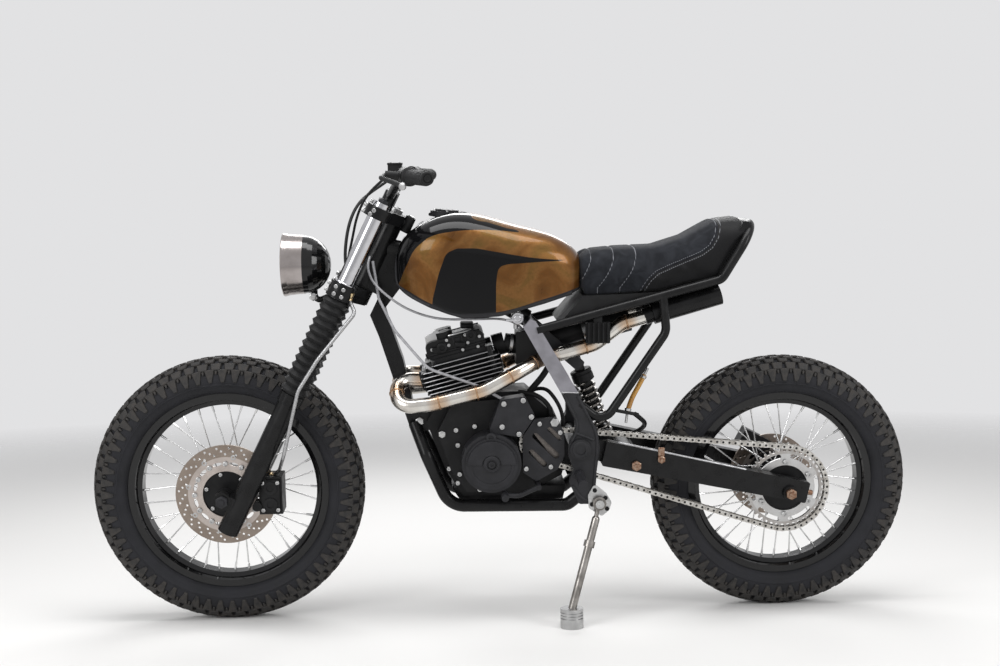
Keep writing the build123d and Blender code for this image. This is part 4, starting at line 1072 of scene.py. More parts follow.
@dataclass
class Tyre:
    """A block-tread tyre: a smooth carcass with rows of lugs, on one wheel."""

    name: str
    at: Pair
    radius: float
    bead: float
    body: Body
    pitches: int = 60
    steps: int = 144
    lug_bevel: float = 2.0
    # (along the axle, depth under the lugs' tips) of the carcass, from the crown to the bead
    wall: tuple[Pair, ...] = (
        (0, 8), (12, 8.4), (22, 11.5), (31, 17), (38, 23.5), (43, 31), (46.4, 38), (48.2, 44), (49.4, 50),
        (50.2, 57), (50.2, 62), (49.8, 64), (51.2, 65.2), (51.2, 67.4), (49.6, 69), (47.5, 77), (44.6, 84),
    )
    # (along the axle, height over the bead's seat) of the part inside the rim
    foot: tuple[Pair, ...] = ((40, 17), (35.5, 14), (29, 14), (28.4, 0.5))
    # (along the axle, depth, tilt in degrees, lug length, lug width, lug height, shift in pitches, and the
    # inner end's share of the length)
    rows: tuple[tuple[float, ...], ...] = (
        (0, 0.6, 0, 15, 10, 12, 0.0, 1.0), (13.5, 1.6, 8, 24, 12, 12, 0.5, 1.0),
        (28.5, 6.6, 28, 27, 14, 12, 0.0, 0.8), (42.6, 20, 54, 29, 20, 13, 0.5, 0.75),
        (51.2, 43, 79, 27, 33, 6, 0.0, 0.3), (50.0, 34, 72, 8, 10, 6, 0.5, 0.6),
    )

    def build(self, paints: Paintbox) -> None:
        """Turns the carcass, sets the lugs round it and fits the tyre in place of its solid."""
        half = [(y, self.radius - d) for y, d in self.wall] + [(y, self.bead + up) for y, up in self.foot]
        outline = half + [(-y, r) for y, r in reversed(half) if y]
        x, z = self.at
        carcass = Bench.turned(self.name + "_tyre_carcass", outline, (x, 0, z), self.steps)
        Bench.place(carcass, paints.get("tyre_rubber"), self.body, "tyre", [self.name + "_tyre"], 32)
        lugs = []
        for y, depth, tilt, length, width, height, shift, taper in self.rows:
            for side in SIDES if y else SIDES[:1]:
                lug = Bench.block("lug", (length, width, height), (0, 0, -height / 2), self.lug_bevel, 1)
                for v in lug.data.vertices:
                    inward = min(1.0, max(0.0, side * v.co.y / (width * MM) + 0.5))
                    v.co.x *= 1 + (taper - 1) * inward
                lugs.append(Bench.repeated("row", lug, [
                    self._place(side * y, self.radius - depth, side * tilt, i + shift)
                    for i in range(self.pitches)
                ]))
        whole = Bench.joined(self.name + "_tyre_lugs", lugs)
        # The lugs take a lighter rubber than the carcass: a painted highlight on the blocks, with dust
        Bench.place(whole, paints.get("tread_highlight_and_dust"), self.body, "tyre", smooth=32)

    def _place(self, y: float, r: float, tilt: float, step: float) -> Matrix:
        """Where one lug sits: its place across the tread, its tilt and its step round the tyre."""
        return (
            Matrix.Translation((self.at[0] * MM, 0, self.at[1] * MM))
            @ Matrix.Rotation(WHOLE_TURN * step / self.pitches, 4, "Y")
            @ Matrix.Translation((0, y * MM, r * MM))
            @ Matrix.Rotation(-math.radians(tilt), 4, "X")
        )


@dataclass
class Spokes:
    """The bright nipples that hold the spokes in a rim."""

    name: str
    at: Pair
    bead: float
    body: Body
    count: int = 36
    cross: float = math.radians(40)
    hub_r: float = 42.0
    flange_y: float = 32.0
    flange_half: float = 4.0
    rim_depth: float = 18.0
    rim_y: float = 7.0
    nipple: float = 19.0
    nipple_r: float = 3.3
    tip_r: float = 2.7

    def build(self, paints: Paintbox) -> None:
        """Models one nipple and copies it to every spoke."""
        nipple = Bench.rod("nipple", (0, 0, 0), (0, 0, self.nipple), self.nipple_r, 8, tip=self.tip_r)
        x, z = self.at
        r = self.bead - self.rim_depth
        places = []
        for i in range(self.count):
            side, lead = 1 - 2 * (i % 2), 1 - 2 * ((i // 2) % 2)
            a = WHOLE_TURN * i / self.count
            b = a + lead * self.cross
            rim = Vector((x + r * math.cos(a), side * self.rim_y, z + r * math.sin(a)))
            flange = side * self.flange_y + lead * self.flange_half
            hub = Vector((x + self.hub_r * math.cos(b), flange, z + self.hub_r * math.sin(b)))
            places.append(Bench.aimed(rim, hub - rim))
        nipples = Bench.repeated(self.name + "_nipples", nipple, places)
        Bench.place(nipples, paints.get("spoke_steel"), self.body, "spoke_steel")


@dataclass
class Chain:
    """The roller chain, link by link round both sprockets."""

    pitch: float = 15.875
    y: float = 74.0
    drive: Pair = (-72.0, 467.0)
    teeth: tuple[int, int] = (43, 15)
    # A side plate: its radius, half its thickness, its stretch along the link, its waist's share and reach
    plate_r: float = 7.3
    plate_half: float = 1.0
    plate_stretch: float = 2.02
    waist: float = 0.74
    waist_reach: float = 8.0
    # How far the outer and the inner links' plates stand from the chain's middle
    outer_gap: float = 7.6
    inner_gap: float = 5.2
    # (radius, half length) of a roller and of a pin
    roller: Pair = (5.1, 4.6)
    pin: Pair = (3.2, 9.2)

    def stations(self) -> list[tuple[float, float]]:
        """The pins' (x, z) places, evenly spaced round the loop."""
        big, small = (self.pitch / (2 * math.sin(math.pi / n)) for n in self.teeth)
        rear, drive = Vector(STANCE.rear), Vector(self.drive)
        gap = drive - rear
        along = math.atan2(gap.y, gap.x)
        tilt = math.acos((big - small) / gap.length)
        top, low = along + tilt, along - tilt
        run = gap.length * math.sin(tilt)
        wrap_front, wrap_rear = small * (top - low), big * (WHOLE_TURN - (top - low))
        total = 2 * run + wrap_front + wrap_rear
        count = 2 * round(total / self.pitch / 2)

        def spot(s: float) -> tuple[float, float]:
            """The place at a distance round the loop."""
            for length, centre, r, start, way in (
                (run, rear, big, top, 0), (wrap_front, drive, small, top, -1),
                (run, drive, small, low, 0), (wrap_rear, rear, big, low, -1),
            ):
                if s <= length:
                    angle = start + way * s / r
                    out = Vector((math.cos(angle), math.sin(angle)))
                    ahead = Vector((out.y, -out.x)) * (s if way == 0 else 0)
                    return tuple(centre + out * r + ahead)
                s -= length
            return tuple(rear + Vector((math.cos(top), math.sin(top))) * big)

        return [spot(total * i / count) for i in range(count)]

    def _plates(self, gap: float) -> Piece:
        """A pair of waisted side plates, about the middle of a link."""
        sides = []
        for y in (-gap, gap):
            faces = ((0, y - self.plate_half, 0), (0, y + self.plate_half, 0))
            plate = Bench.rod("plate", *faces, self.plate_r, 16)
            with Bench.editing():
                bpy.ops.transform.resize(value=(self.plate_stretch, 1, 1))
            for v in plate.data.vertices:
                out = min(1.0, abs(v.co.x) / (self.waist_reach * MM))
                v.co.z *= self.waist + (1 - self.waist) * out
            sides.append(plate)
        return Bench.joined("plates", sides)

    def build(self, paints: Paintbox) -> None:
        """Models an outer link, an inner link and a roller, and copies each round the loop."""
        pins = self.stations()
        places: tuple[list[Matrix], list[Matrix]] = ([], [])
        for i, a in enumerate(pins):
            b = pins[(i + 1) % len(pins)]
            turn = Matrix.Rotation(-math.atan2(b[1] - a[1], b[0] - a[0]), 4, "Y")
            middle = Vector(((a[0] + b[0]) / 2, self.y, (a[1] + b[1]) / 2)) * MM
            places[i % 2].append(Matrix.Translation(middle) @ turn)
        outer = Bench.repeated("outer", self._plates(self.outer_gap), places[0])
        inner = Bench.repeated("inner", self._plates(self.inner_gap), places[1])
        r, half = self.roller
        roller = Bench.rod("barrel", (0, -half, 0), (0, half, 0), r, 12)
        spots = [Matrix.Translation(Vector((x, self.y, z)) * MM) for x, z in pins]
        links = Bench.joined("chain_links", [outer, inner, Bench.repeated("rollers", roller, spots)])
        Bench.place(links, paints.get("chain_steel"), Body.CHASSIS, "chain_steel", ["chain"], 30)
        r, half = self.pin
        pin = Bench.rod("pin", (0, -half, 0), (0, half, 0), r, 8, 0.6)
        pins_all = Bench.repeated("chain_pins", pin, spots)
        Bench.place(pins_all, paints.get("engine_paint"), Body.CHASSIS, "chain_steel", smooth=30)


@dataclass
class SeatPad:
    """The sewn seat: a crowned pad in two materials with a piped seam and curved sewn lines."""

    top: tuple[Pair, ...] = (
        (-599, 1019), (-584, 1033), (-524, 1018), (-451, 979), (-376, 956), (-278, 953), (-186, 945),
    )
    base: tuple[Pair, ...] = ((-599, 1007), (-517, 888), (-378, 850), (-188, 842))
    seam: tuple[Pair, ...] = (
        (-331, 838), (-340, 860), (-354, 882), (-372, 898), (-410, 915), (-451, 931), (-483, 945),
        (-505, 961), (-520, 985), (-529, 1016), (-532, 1040),
    )
    # The pad's shape before it is filled: its half width, the crown's drop at the sides, and how far the
    # shoulders and the front are drawn in, from which share of the height and over which length
    half_width: float = 100.0
    least_height: float = 20.0
    crown: float = 13.0
    shoulder: float = 0.16
    shoulder_from: float = 0.35
    front: float = 0.17
    front_from: float = -330.0
    front_run: float = 150.0
    # The hoop's kink behind the pad and the way in from the hoop's run; how far the tail is let out towards
    # it, how that fades away from the hoop, and how it fades towards the top
    hoop: Pair = (-531.0, 881.0)
    hoop_in: Pair = (0.854, 0.52)
    tail_reach: float = 15.0
    tail_near: float = 15.0
    tail_fade: float = 45.0
    tail_top: float = 1036.0
    tail_top_fade: float = 30.0
    # The sewn lines: the first one's place, their spacing, how many spacings they take up, the margin before
    # the first, and how they sweep forward from the top down
    quilt_start: float = -212.0
    quilt_gap: float = 55.0
    quilt_rows: float = 2.5
    quilt_margin: float = 20.0
    quilt_sweep: float = 42.0
    quilt_top: float = 948.0
    quilt_drop: float = 88.0
    quilt_bend: float = 1.7
    no_line: float = 99.0
    # (depth, width) of the grooves along the seam and along the sewn lines
    seam_groove: Pair = (2.6, 3.0)
    quilt_groove: Pair = (2.2, 4.0)
    pressure: float = 4.0
    fill_frames: int = 20
    most_swell: float = 6.0
    weld: float = 0.01
    voxel: float = 5.0

    def _sewn(self, x: float, z: float) -> float:
        """The distance to the nearest of the curved sewn lines, in millimetres."""
        drop = min(1.0, max(0.0, (self.quilt_top - z) / self.quilt_drop))
        u = x - self.quilt_sweep * drop ** self.quilt_bend - self.quilt_start
        if u > self.quilt_margin or u < -self.quilt_rows * self.quilt_gap:
            return self.no_line
        return abs((u + self.quilt_gap / 2) % self.quilt_gap - self.quilt_gap / 2)

    def _beside(self, x: float, z: float) -> float:
        """The signed distance from the seam, in millimetres: positive on the leather's side."""
        best, sign = 1e9, 1.0
        for (x0, z0), (x1, z1) in zip(self.seam, self.seam[1:]):
            dx, dz = x1 - x0, z1 - z0
            share = min(1.0, max(0.0, ((x - x0) * dx + (z - z0) * dz) / (dx * dx + dz * dz)))
            far = math.hypot(x - x0 - share * dx, z - z0 - share * dz)
            if far < best:
                best = far
                sign = 1.0 if dx * (z - z0) - dz * (x - x0) > 0 else -1.0
        return best * sign

    def _crown(self, obj: Piece) -> None:
        """Rounds the pad's shoulders and draws in its front, before it is filled."""
        co = Bench.read(obj) / MM
        x, z = co[:, 0].copy(), co[:, 2].copy()
        high, low = (
            np.interp(x, [p[0] for p in line], [p[1] for p in line])
            for line in (sorted(self.top), sorted(self.base))
        )
        up = np.clip((z - low) / np.maximum(high - low, self.least_height), 0, 1)
        side = np.abs(co[:, 1]) / self.half_width
        ahead = np.clip((x - self.front_from) / self.front_run, 0, 1)
        from_hoop = (x - self.hoop[0]) * self.hoop_in[0] + (z - self.hoop[1]) * self.hoop_in[1]
        near = np.clip(1 - (from_hoop - self.tail_near) / self.tail_fade, 0, 1)
        back = self.tail_reach * near * np.clip((self.tail_top - z) / self.tail_top_fade, 0, 1)
        co[:, 0] -= back * self.hoop_in[0]
        co[:, 2] -= back * self.hoop_in[1] + self.crown * up * side ** 3
        over = np.clip((up - self.shoulder_from) / (1 - self.shoulder_from), 0, 1)
        co[:, 1] *= (1 - self.shoulder * over ** 2) * (1 - self.front * ahead ** 2)
        Bench.write(obj, co * MM)

    def _fill(self, obj: Piece) -> None:
        """Fills the pad with cloth pressure, and holds back what swells too far."""
        rest = Bench.read(obj)
        mod = obj.modifiers.new("fill", "CLOTH")
        cloth = mod.settings
        cloth.use_pressure = True
        cloth.uniform_pressure_force = self.pressure
        cloth.effector_weights.gravity = 0
        scene = bpy.context.scene
        mod.point_cache.frame_start, mod.point_cache.frame_end = 1, self.fill_frames
        for frame in range(1, self.fill_frames + 1):
            scene.frame_set(frame)
        Bench.alone(obj)
        bpy.ops.object.modifier_apply(modifier=mod.name)
        scene.frame_set(1)
        swell = Bench.read(obj) - rest
        far = np.linalg.norm(swell, axis=1, keepdims=True)
        swell *= np.minimum(1, self.most_swell * MM / np.maximum(far, 1e-9))
        Bench.write(obj, rest + swell)

    def _sew(self, obj: Piece) -> None:
        """Draws the seam and the sewn lines in, and keeps their distances for the cover."""
        mesh = obj.data
        seam = mesh.attributes.new("seam", "FLOAT", "POINT")
        quilt = mesh.attributes.new("quilt", "FLOAT", "POINT")
        normals = [v.normal.copy() for v in mesh.vertices]

        def groove(shape: Pair, off: float) -> float:
            """How deep a groove is at a distance from its middle."""
            return shape[0] * math.exp(-(off / shape[1]) ** 2)

        for v, out in zip(mesh.vertices, normals):
            x, _, z = v.co / MM
            beside, line = self._beside(x, z), self._sewn(x, z)
            seam.data[v.index].value = beside
            quilt.data[v.index].value = line
            sink = groove(self.seam_groove, beside)
            if beside < 0:
                sink += groove(self.quilt_groove, line)
            v.co -= out * sink * MM
        mesh.update()

    def build(self, paints: Paintbox, source: Piece) -> None:
        """Makes the pad from the seat's solid.

        Args:
            paints: the finishes.
            source: the seat's node.
        """
        obj = bpy.data.objects.new("seat_pad", source.data.copy())
        bpy.context.scene.collection.objects.link(obj)
        obj.data.transform(STANCE.park().inverted())
        Bench.alone(obj)
        with Bench.editing():
            bpy.ops.mesh.remove_doubles(threshold=self.weld * MM)
        obj.data.remesh_voxel_size = self.voxel * MM
        bpy.ops.object.voxel_remesh()
        self._crown(obj)
        self._fill(obj)
        Bench.modified(obj, "SMOOTH", factor=0.5, iterations=6)
        Bench.modified(obj, "SUBSURF", levels=1, render_levels=1)
        self._sew(obj)
        Bench.place(obj, paints.get("seat_cover"), Body.CHASSIS, "seat_cover", ["seat"], 60)


@dataclass
class Disc:
    """A drilled brake disc on its slotted carrier."""

    name: str
    at: Pair
    body: Body
    faces: Pair
    radius: float
    bore: float
    holes: tuple[float, ...]
    hole_count: int
    window_r: float
    window_count: int = 12
    hole_r: float = 3.2
    window_half: float = 4.6
    window_stretch: float = 2.6
    steps: int = 120
    # How far the cutting tools stand out of both faces
    clear: float = 2.0

    def build(self, paints: Paintbox) -> None:
        """Turns the disc, drills it, cuts its windows and fits it in place of its solid."""
        low, high = sorted(self.faces)
        x, z = self.at
        outline = [(low, self.bore), (low, self.radius), (high, self.radius), (high, self.bore)]
        disc = Bench.turned(self.name + "_drilled", outline, (x, 0, z), self.steps)
        through = ((0, low - self.clear, 0), (0, high + self.clear, 0))
        hole = Bench.rod("hole", *through, self.hole_r, 10)
        Bench.cut(disc, Bench.repeated("holes", hole, [
            self._place(r, (i + row / len(self.holes)) / self.hole_count)
            for row, r in enumerate(self.holes) for i in range(self.hole_count)
        ]))
        window = Bench.rod("window", *through, self.window_half, 16)
        with Bench.editing():
            bpy.ops.transform.resize(value=(1, 1, self.window_stretch))
        count = self.window_count
        Bench.cut(disc, Bench.repeated("windows", window, [
            self._place(self.window_r, (i + 0.5) / count) for i in range(count)
        ]))
        Bench.place(disc, paints.get(self.name), self.body, "disc_steel", [self.name], 30)

    def _place(self, r: float, share: float) -> Matrix:
        """A place on the disc, by its radius and its share of a turn."""
        return (
            Matrix.Translation((self.at[0] * MM, 0, self.at[1] * MM))
            @ Matrix.Rotation(WHOLE_TURN * share, 4, "Y") @ Matrix.Translation((r * MM, 0, 0))
        )


def round_of(at: Point, radius: float, count: int, start: float = 0.0) -> tuple[Point, ...]:
    """Places evenly round a circle across the machine.

    Args:
        at: the circle's centre.
        radius: its radius.
        count: how many places.
        start: the first one's angle, in degrees.

    Returns:
        The places.
    """
    turns = [math.radians(start + 360 * i / count) for i in range(count)]
    return tuple((at[0] + radius * math.cos(a), at[1], at[2] + radius * math.sin(a)) for a in turns)


def both_sides(spots: Sequence[Point]) -> tuple[Point, ...]:
    """Places on the left and their mirror images."""
    return tuple(spots) + tuple((x, -y, z) for x, y, z in spots)


@dataclass
class Cluster:
    """Small pieces of one finish on one body, from tables: modelled, placed and joined to one piece."""

    name: str
    body: Body
    finish: str
    slot: str
    # (radius, height, direction, places) of socket screws and of hexagon heads
    screws: Sequence[tuple[float, float, Point, Sequence[Point]]] = ()
    hexes: Sequence[tuple[float, float, Point, Sequence[Point]]] = ()
    # (start, end, radius)
    rods: Sequence[tuple[Point, Point, float]] = ()
    # (size, centre, edge rounding)
    blocks: Sequence[tuple[Point, Point, float]] = ()
    # (centre, direction, bore, outer radius, width)
    rings: Sequence[tuple[Point, Point, float, float, float]] = ()
    # (radius, control points)
    hoses: Sequence[tuple[float, Sequence[Point]]] = ()
    # (outline, right face, left face), with the edges' rounding where it isn't 1
    plates: Sequence[tuple] = ()
    # The turn from one head to the next, in radians, and a ring's rounding as a share of its section
    twist: float = 0.4
    ring_soft: float = 0.3

    def _ring(self, at: Point, axis: Point, bore: float, outer: float, width: float) -> Piece:
        """A ring with rounded edges."""
        half, soft = width / 2, min(width, outer - bore) * self.ring_soft
        outline = [
            (-half, bore), (-half, outer - soft), (soft - half, outer), (half - soft, outer),
            (half, outer - soft), (half, bore),
        ]
        return Bench.turned("ring", outline, at, 40, axis)

    def build(self, paints: Paintbox) -> None:
        """Models every row and joins them."""
        pieces = []
        for rows, hexed in ((self.screws, False), (self.hexes, True)):
            for radius, height, axis, spots in rows:
                head = Bench.screw(radius, height, hexed)
                places = [Bench.aimed(spot, axis, self.twist * i) for i, spot in enumerate(spots)]
                pieces.append(Bench.repeated("heads", head, places))
        for start, end, radius in self.rods:
            pieces.append(Bench.rod("rod", start, end, radius, 20, min(1.5, 0.25 * radius)))
        pieces += [Bench.block("block", *row) for row in self.blocks]
        pieces += [self._ring(*row) for row in self.rings]
        pieces += [Bench.hose("hose", points, radius) for radius, points in self.hoses]
        pieces += [Bench.plate("plate", *row) for row in self.plates]
        Bench.place(Bench.joined(self.name, pieces), paints.get(self.finish), self.body, self.slot)


@dataclass
class Fins:
    """Bright machined edges along the cylinder's fins, and the dark pillars behind them."""

    base: Pair = (93.0, 602.0)
    tilt: float = math.radians(14.4)
    sizes: tuple[Pair, ...] = (
        (190, 160), (196, 168), (200, 172), (202, 174), (204, 176), (204, 176), (198, 170), (180, 150),
    )
    first: float = 8.0
    pitch: float = 11.0
    thick: float = 3.0
    middle: float = 6.0
    strip_r: float = 1.35
    proud: float = 0.2
    inset: float = 3.0
    pillar_r: float = 9.0
    pillar_along: Pair = (-74.0, 84.0)
    pillar_y: float = 70.0
    pillar_span: Pair = (2.0, 100.0)

    def at(self, along: float, y: float, up: float) -> Point:
        """A point of the leaning cylinder, on the upright machine."""
        s, c = math.sin(self.tilt), math.cos(self.tilt)
        return (self.base[0] + along * c + up * s, y, self.base[1] - along * s + up * c)

    def build(self, paints: Paintbox) -> None:
        """One rounded strip on each side, front and back edge of every fin, and four pillars."""
        strips, pillars = [], []
        for i, (length, width) in enumerate(self.sizes):
            up = self.first + i * self.pitch + self.thick / 2
            wide, long = width / 2, length / 2
            edges = [[(k * (long - self.inset), s * (wide + self.proud)) for k in SIDES] for s in SIDES]
            edges += [[(k * (long + self.proud), s * (wide - self.inset)) for s in SIDES] for k in SIDES]
            for edge in edges:
                ends = [self.at(self.middle + along, y, up) for along, y in edge]
                strips.append(Bench.rod("strip", *ends, self.strip_r, 8, 0.4))
        for along in self.pillar_along:
            for side in SIDES:
                ends = [self.at(along, side * self.pillar_y, up) for up in self.pillar_span]
                pillars.append(Bench.rod("pillar", *ends, self.pillar_r, 20, 2))
        dark = paints.get("engine_paint")
        Bench.place(Bench.joined("fin_edges", strips), paints.get("fin_edge_and_painted_highlight"), Body.CHASSIS, "alloy")
        Bench.place(Bench.joined("cylinder_pillars", pillars), dark, Body.CHASSIS, "engine_black")


@dataclass
class Shock:
    """The shock absorber: a damper with collars, and its wound spring."""

    top: Point = (-186.0, 0.0, 657.0)
    low: Point = (-262.0, 0.0, 450.0)
    arm: Point = (-306.0, 0.0, 432.2)
    coil_r: float = 22.0
    wire: float = 4.2
    start: float = 52.0
    end: float = 196.0
    turns: int = 9
    steps: int = 12
    eye_half: float = 36.6

    def build(self, paints: Paintbox) -> None:
        """Turns the damper, winds the spring and fits both in place of the solid."""
        top, low = Vector(self.top), Vector(self.low)
        run = (low - top).normalized()
        across = Vector((0, 1, 0))
        up = run.cross(across)
        long = (low - top).length
        outline = [
            (-12, 0), (-12, 12), (18, 13), (18, 26), (20, 28), (26, 28), (27, 26), (29, 26), (30, 28),
            (48, 28), (50, 25), (50, 17), (120, 17), (121, 9), (long - 26, 9), (long - 25, 24),
            (long - 4, 24), (long, 20), (long, 0),
        ]
        damper = Bench.turned("damper", outline, self.top, 48, tuple(run), closed=False)
        y = self.eye_half
        eye = Bench.rod("eye", (top.x, -y, top.z), (top.x, y, top.z), 12, 32, 1.5)
        lug = Bench.rod("lug", self.low, self.arm, 12, 32, 1)
        body = Bench.joined("shock_damper", [damper, eye, lug])
        Bench.place(body, paints.get("engine_paint"), Body.CHASSIS, "frame_black", ["shock_absorber"])
        count = self.turns * self.steps
        points = []
        for i in range(count + 1):
            angle = WHOLE_TURN * i / self.steps
            level = self.start + (self.end - self.start) * i / count
            out = across * math.cos(angle) + up * math.sin(angle)
            points.append(tuple(top + run * level + out * self.coil_r))
        spring = Bench.hose("shock_spring", points, self.wire)
        Bench.place(spring, paints.get("spring_steel"), Body.CHASSIS, "frame_black")


@dataclass
class Grips:
    """Ribbed rubber grips with a ringed end."""

    end: Point = (188.3, 385.0, 1138.3)
    run: Point = (0.3254, -0.9455, 0.022)
    length: float = 122.0
    ribs: int = 17
    bar_r: float = 11.2

    def build(self, paints: Paintbox) -> None:
        """Turns one ribbed grip for each side and fits both in place of the solids."""
        outline = [(-5, 0), (-5, 4), (-6, 5), (-6, 8), (-4.6, 9), (-6, 10), (-6, 13), (-4, 15.5)]
        pitch = (self.length - 16) / self.ribs
        for i in range(self.ribs):
            low = 4 + i * pitch
            outline += [
                (low, 15.6), (low + 0.25 * pitch, 17), (low + 0.7 * pitch, 17), (low + 0.95 * pitch, 15.6),
            ]
        back = self.length
        outline += [
            (back - 8, 17), (back - 5, 21), (back - 1, 22), (back, 20), (back, self.bar_r), (0, self.bar_r),
            (0, 0),
        ]
        grips = []
        for side in SIDES:
            at = (self.end[0], side * self.end[1], self.end[2])
            run = (self.run[0], side * self.run[1], self.run[2])
            grips.append(Bench.turned("grip", outline, at, 40, run, closed=False))
        whole = Bench.joined("grips_ribbed", grips)
        Bench.place(whole, paints.get("soft_rubber"), Body.STEERING, "rubber", ["grips"], 35)


